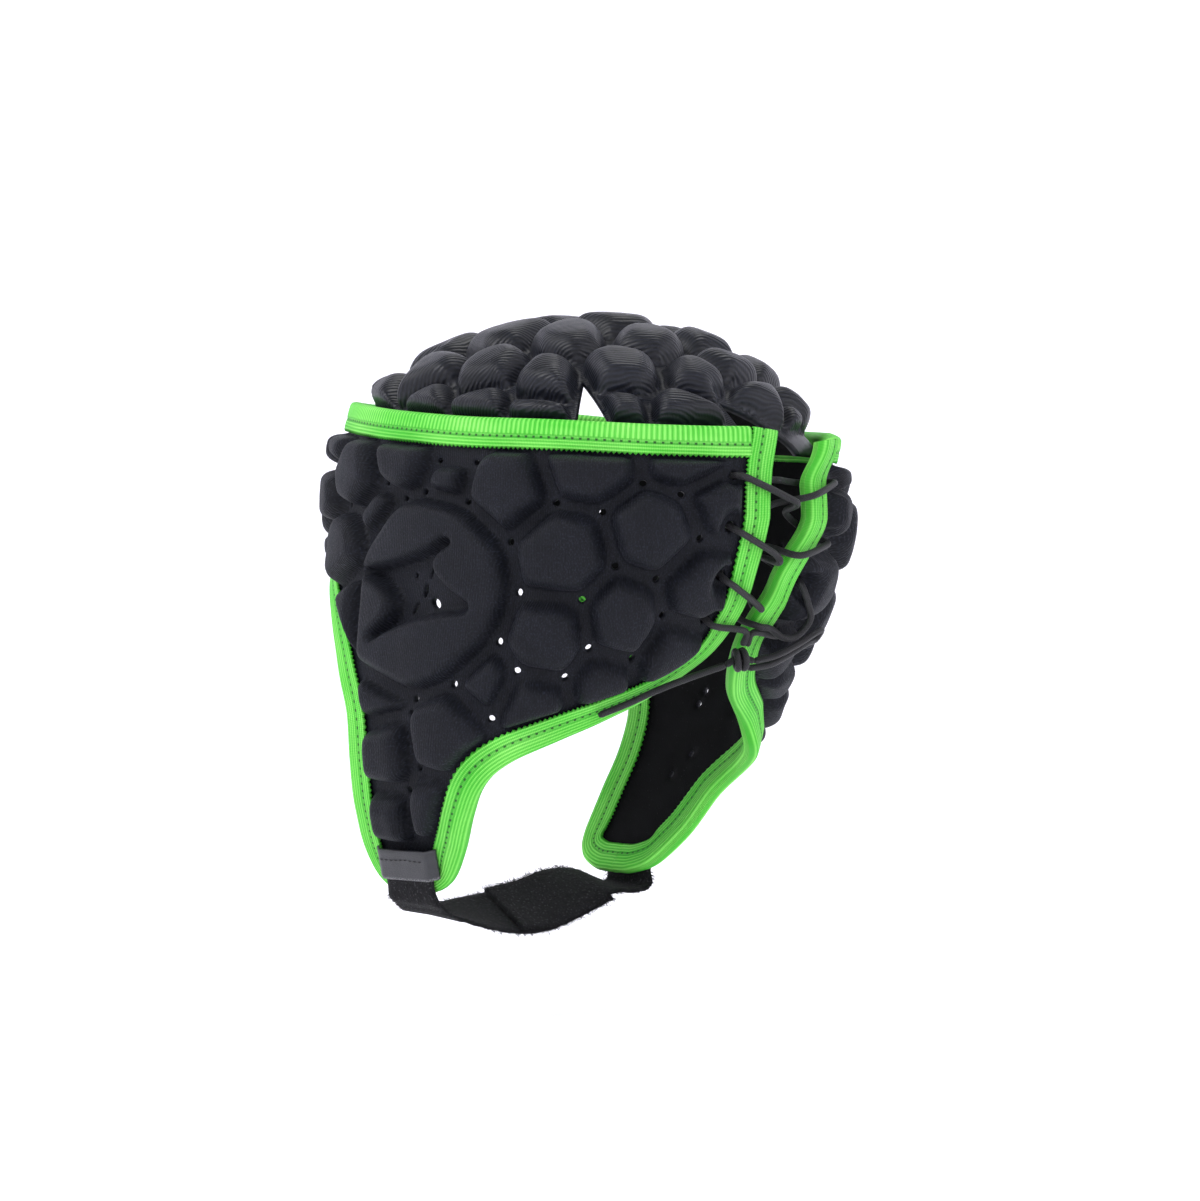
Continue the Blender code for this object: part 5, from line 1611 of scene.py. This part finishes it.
@dataclass(frozen=True)
class KnitFinish(Finish):
    """Black knit over moulded foam."""

    knit: Knit = Knit.FINE
    dark: tuple[float, float, float] = (0.0016, 0.0020, 0.0034)
    light: tuple[float, float, float] = (0.013, 0.0155, 0.025)

    def make(self, shader: Shader) -> bpy.types.Material:
        """Makes the material."""
        x, y = shader.flat()
        if self.knit is Knit.LINING:
            dust = shader.round_noise(0.8, 1.0).between(0.70, 0.80)
            cloudy = shader.round_noise(9.0)
            weave = shader.round_noise(0.6)
            shade = shader.mix(cloudy, (0.0022, 0.0023, 0.0026), (0.0060, 0.0062, 0.0070))
            colour = shader.mix(dust * 0.4, shade, (0.05, 0.05, 0.055))
            return shader.made(colour, 0.92, weave, 0.00015, Specular_IOR_Level=0.15)
        bend = shader.noise(x, y, (22.0, 22.0)) * 3.0
        worn = shader.noise(x, y, (17.0, 13.0), 3.0)
        if self.knit is Knit.RIBBED:
            ribs = (x * 0.55 + y * 0.83 + bend * 2.0).wave(1.05)
            loops = shader.noise(x, y, (0.7, 1.4), 1.0)
            relief = ribs * 0.65 + loops * 0.35
            shade = shader.mix(relief * worn * 1.25, self.dark, self.light)
            rough = 0.44 - ribs * 0.10
            return shader.made(
                shade, rough, relief, 0.00018, Specular_IOR_Level=0.30, Sheen_Weight=0.02,
                Sheen_Roughness=0.35, Sheen_Tint=(0.80, 0.84, 1.0, 1.0),
            )
        wales = (x + bend * 0.3).wave(0.95)
        speckle = shader.noise(x, y, (0.75, 1.3), 2.0)
        fleck = shader.noise(x, y, (0.42, 0.75), 0.0).between(0.52, 0.80)
        relief = wales * 0.35 + speckle * 0.4 + fleck * 0.25
        shade = shader.mix((fleck * 0.8 + speckle * 0.35) * (worn * 0.8 + 0.25), self.dark, self.light)
        rough = 0.62 - fleck * 0.12
        return shader.made(
            shade, rough, relief, 0.00022, Specular_IOR_Level=0.17, Sheen_Weight=0.02,
            Sheen_Roughness=0.5, Sheen_Tint=(0.80, 0.84, 1.0, 1.0),
        )


@dataclass(frozen=True)
class TapeFinish(Finish):
    """Bright green elastic, ribbed along, with its upper part ribbed across on the top tape; painted
    highlights wash it pale in patches and on its rib crests, and painted shade darkens its rib grooves
    and the stitch line.
    """

    crossed: bool = False
    green: tuple[float, float, float] = (0.070, 0.580, 0.030)
    # pale is the painted highlight colour, where light washes the tape.
    pale: tuple[float, float, float] = (0.340, 0.920, 0.180)
    # Painted shade colour, for the rib grooves and the stitch line's dent.
    painted_shade_green: tuple[float, float, float] = (0.012, 0.230, 0.016)

    def make(self, shader: Shader) -> bpy.types.Material:
        """Makes the material."""
        along, across = shader.flat()
        far = across.size()
        lengthwise = far.wave(1.25)
        fine = along.wave(0.62)
        relief = lengthwise * 0.7 + fine * 0.3
        if self.crossed:
            upper = 1.0 - far.between(4.0, 4.8)
            bars = along.wave(1.9) * 0.8 + fine * 0.2
            relief = bars * upper + relief * (1.0 - upper)
        # Band along the stitch line: painted shade in its colour, a real dent in its bump.
        seam = 1.0 - (far - 5.3).size().between(0.25, 1.3)
        dots = along.wave(3.0).between(0.62, 0.92) * (1.0 - (far - 5.3).size().between(0.25, 0.5))
        # Large patches of painted highlight, where the light washes the tape pale.
        painted_light_patches = shader.noise(along, across, (34.0, 9.0), 2.0)
        # Painted highlight: paler on the rib crests and in the light patches.
        shade = shader.mix(relief * 0.62 + painted_light_patches * 0.9 - 0.42, self.green, self.pale)
        # Painted shade along the stitch line.
        shade = shader.mix(seam * 0.42, shade, self.painted_shade_green)
        # Painted shade in the rib grooves.
        shade = shader.mix((1.0 - relief) * 0.42, shade, self.painted_shade_green)
        shade = shader.mix(dots * 0.85, shade, (0.020, 0.060, 0.020))
        height = relief * 0.6 - dots * 0.6 - seam * 0.2
        return shader.made(
            shade, 0.60, height, 0.00055, Sheen_Weight=0.03, Sheen_Roughness=0.4,
            Sheen_Tint=(0.5, 1.0, 0.4, 1.0), Specular_IOR_Level=0.18,
        )


@dataclass(frozen=True)
class LeatheretteFinish(Finish):
    """Satin dark grey patch, pale where its lower edge has rubbed."""

    def make(self, shader: Shader) -> bpy.types.Material:
        """Makes the material."""
        x, y = shader.flat()
        grain = shader.noise(x, y, (0.55, 0.55), 3.0)
        soft = shader.noise(x, y, (6.0, 5.0), 2.0)
        rubbed = y.between(132.6, 134.2) * grain.between(0.42, 0.62)
        shade = shader.mix(soft, (0.012, 0.0125, 0.015), (0.026, 0.027, 0.032))
        shade = shader.mix(rubbed * 0.75, shade, (0.30, 0.30, 0.31))
        rough = 0.40 + grain * 0.2
        return shader.made(shade, rough, grain * 0.6 + soft * 0.4, 0.00022, Specular_IOR_Level=0.5)


@dataclass(frozen=True)
class PileFinish(Finish):
    """Fuzzy hook-and-loop pile, with scattered pale specks."""

    def make(self, shader: Shader) -> bpy.types.Material:
        """Makes the material."""
        x, y = shader.flat()
        hair = shader.noise(x, y, (0.8, 0.5), 3.0)
        tuft = shader.noise(x, y, (3.2, 2.2), 2.0)
        specks = shader.noise(x, y, (0.9, 0.9), 0.0).between(0.70, 0.80)
        shade = shader.mix(tuft * 0.6 + hair * 0.4, (0.0022, 0.0022, 0.0026), (0.013, 0.013, 0.015))
        shade = shader.mix(specks * 0.25, shade, (0.12, 0.12, 0.13))
        return shader.made(
            shade, 0.90, hair * 0.6 + tuft * 0.6, 0.0006, Sheen_Weight=0.03, Sheen_Roughness=0.6,
            Specular_IOR_Level=0.15,
        )


@dataclass(frozen=True)
class BraidFinish(Finish):
    """Dark grey braided sheath of the elastic cord."""

    def make(self, shader: Shader) -> bpy.types.Material:
        """Makes the material."""
        along, around = shader.flat()
        one = (along + around * 0.9).wave(0.9)
        other = (along - around * 0.9).wave(0.9)
        relief = shader.math("MAXIMUM", one, other)
        soft = shader.noise(along, around, (4.0, 3.0), 1.0)
        shade = shader.mix(relief * 0.8 + soft * 0.2, (0.004, 0.004, 0.0045), (0.022, 0.022, 0.024))
        return shader.made(shade, 0.52, relief, 0.00014, Sheen_Weight=0.02, Specular_IOR_Level=0.25)


@dataclass(frozen=True)
class ThreadFinish(Finish):
    """Sewing thread."""

    shade: tuple[float, float, float] = (0.005, 0.005, 0.0055)

    def make(self, shader: Shader) -> bpy.types.Material:
        """Makes the material."""
        twist = shader.round_noise(0.35, 1.0)
        pale = tuple(part * 2.6 for part in self.shade)
        return shader.made(shader.mix(twist, self.shade, pale), 0.66, twist, 0.00010)


@dataclass(frozen=True)
class FloorFinish(Finish):
    """Plain pale studio paper."""

    glow: float = 0.40

    def make(self, shader: Shader) -> bpy.types.Material:
        """Makes the material."""
        grain = shader.round_noise(30.0)
        colour = shader.mix(grain, (0.905, 0.900, 0.940), (0.920, 0.915, 0.955))
        return shader.made(
            colour, 0.95, grain, 0.0001, Specular_IOR_Level=0.0,
            Emission_Color=(0.94, 0.935, 0.98, 1.0), Emission_Strength=self.glow,
        )


# Loose ends


@dataclass
class LooseThreads:
    """Threads that stick out at the strap's free end."""

    seed: int = 5
    count: int = 46
    radius: float = 0.00012

    def stray(self, rng: np.random.Generator, root: Array, way: Array, length: float) -> Array:
        """One wavy thread from a root."""
        steps = np.linspace(0.0, 1.0, 9)[:, None]
        side = np.cross(way, rng.normal(0.0, 1.0, 3))
        side /= np.linalg.norm(side)
        bend = side * (steps**2) * length * rng.uniform(0.15, 0.6)
        return root + way * steps * length + bend

    def build(self, strap: ChinStrap, thread: Finish) -> None:
        """Builds the threads."""
        rng = np.random.default_rng(self.seed)
        rails = strap.rails(Side.LEFT)
        way = rails[-1, 1] - rails[-4, 1]
        way /= np.linalg.norm(way)
        lines = []
        for _ in range(self.count):
            mixed = rng.uniform(0.0, 1.0)
            root = rails[-1, 0] * mixed + rails[-1, 2] * (1.0 - mixed) + rails[-1, 4] - rails[-1, 1]
            turned = way + rng.normal(0.0, 0.45, 3)
            turned /= np.linalg.norm(turned)
            lines.append(self.stray(rng, root, turned, rng.uniform(0.0008, 0.0042)))
        piece = add_threads("strap_end_threads", lines, self.radius)
        piece.data.materials.append(thread.material())
        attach(piece, "root")


# Studio


@dataclass
class Studio:
    """The camera, the floor with its sweep, and soft light."""

    azimuth: float = 133.0
    distance: float = 1.5
    aim_right: float = 0.005
    aim_height: float = -0.0992
    focal_pixels: float = 3870.0
    frame_pixels: float = 1201.0
    film: float = 36.0
    floor_height: float = -0.262
    sweep_radius: float = 1.2
    sweep_back: float = 2.6
    half_wide: float = 6.0

    def ways(self) -> tuple[Vector, Vector]:
        """Unit directions from the object to the camera, and to the picture's right."""
        turn = math.radians(self.azimuth)
        back = Vector((math.sin(turn), -math.cos(turn), 0.0))
        return back, Vector((-back.y, back.x, 0.0))

    def camera(self) -> None:
        """Places the camera at the photograph's angle."""
        back, right = self.ways()
        aim = right * self.aim_right + Vector((0.0, 0.0, self.aim_height))
        data = bpy.data.cameras.new("camera")
        data.sensor_fit = "AUTO"
        data.sensor_width = self.film
        data.lens = self.film * self.focal_pixels / self.frame_pixels
        camera = bpy.data.objects.new("camera", data)
        camera.location = aim + back * self.distance
        camera.rotation_euler = back.to_track_quat("Z", "Y").to_euler()
        bpy.context.collection.objects.link(camera)
        bpy.context.scene.camera = camera

    def floor(self) -> None:
        """Builds the floor, which sweeps up behind the object on every side."""
        places, around = [], 96
        rows = [0.0, 0.01, 0.4, 1.0, 1.8, self.sweep_back]
        profile = [(reach, 0.0) for reach in rows]
        for angle in np.linspace(0.0, math.pi / 2.0, 14)[1:]:
            reach = self.sweep_back + self.sweep_radius * math.sin(angle)
            profile.append((reach, self.sweep_radius * (1.0 - math.cos(angle))))
        profile.append((self.sweep_back + self.sweep_radius, 4.0))
        for reach, height in profile[1:]:
            for turn in np.linspace(0.0, 2.0 * math.pi, around, endpoint=False):
                places.append(
                    (reach * math.cos(turn), reach * math.sin(turn), self.floor_height + height)
                )
        faces = ring_faces(len(profile) - 1, around, capped=False)
        faces.append(tuple(range(around)))
        floor = add_mesh("floor", np.array(places), faces)
        floor.data.polygons.foreach_set("use_smooth", [False] * len(faces))
        floor.data.materials.append(FloorFinish("pale_paper").material())

    def light(self, name: str, place: Vector, size: float, power: float) -> None:
        """One soft square light aimed at the object."""
        data = bpy.data.lights.new(name, "AREA")
        data.shape = "SQUARE"
        data.size = size
        data.energy = power
        lamp = bpy.data.objects.new(name, data)
        lamp.location = place
        aim = Vector((0.0, 0.0, self.aim_height))
        lamp.rotation_euler = (place - aim).to_track_quat("Z", "Y").to_euler()
        bpy.context.collection.objects.link(lamp)

    def build(self) -> None:
        """Builds the studio."""
        self.camera()
        self.floor()
        bpy.context.scene.view_settings.view_transform = "Standard"
        back, right = self.ways()
        up = Vector((0.0, 0.0, 1.0))
        self.light("key", back * 0.75 - right * 1.15 + up * 1.15, 0.8, 15.0)
        self.light("top", back * -0.35 + right * 0.2 + up * 1.5, 0.9, 9.0)
        self.light("fill", back * 1.1 + right * 1.3 + up * 0.5, 1.0, 5.0)
        world = bpy.data.worlds.new("studio")
        world.use_nodes = True
        sky = world.node_tree.nodes["Background"]
        sky.inputs["Color"].default_value = (0.95, 0.96, 1.0, 1.0)
        sky.inputs["Strength"].default_value = 0.30
        bpy.context.scene.world = world


def main() -> None:
    """Builds the cap in order."""
    logging.basicConfig(level=logging.INFO, format="%(name)s: %(message)s")
    Studio().build()
    Lacing().build(BraidFinish("braided_sheath"))
    fine, lining = KnitFinish("fine_knit"), KnitFinish("lining", Knit.LINING)
    WrapPanel().build(fine, lining)
    CrownPanel().build(KnitFinish("ribbed_knit", Knit.RIBBED), lining)
    EdgeTape().build(TapeFinish("green_tape"), TapeFinish("green_top_tape", True))
    strap, thread = ChinStrap(), ThreadFinish("black_thread")
    strap.build(PileFinish("hook_pile"), LeatheretteFinish("leatherette"), thread)
    LooseThreads().build(strap, thread)


if __name__ == "__main__":
    main()
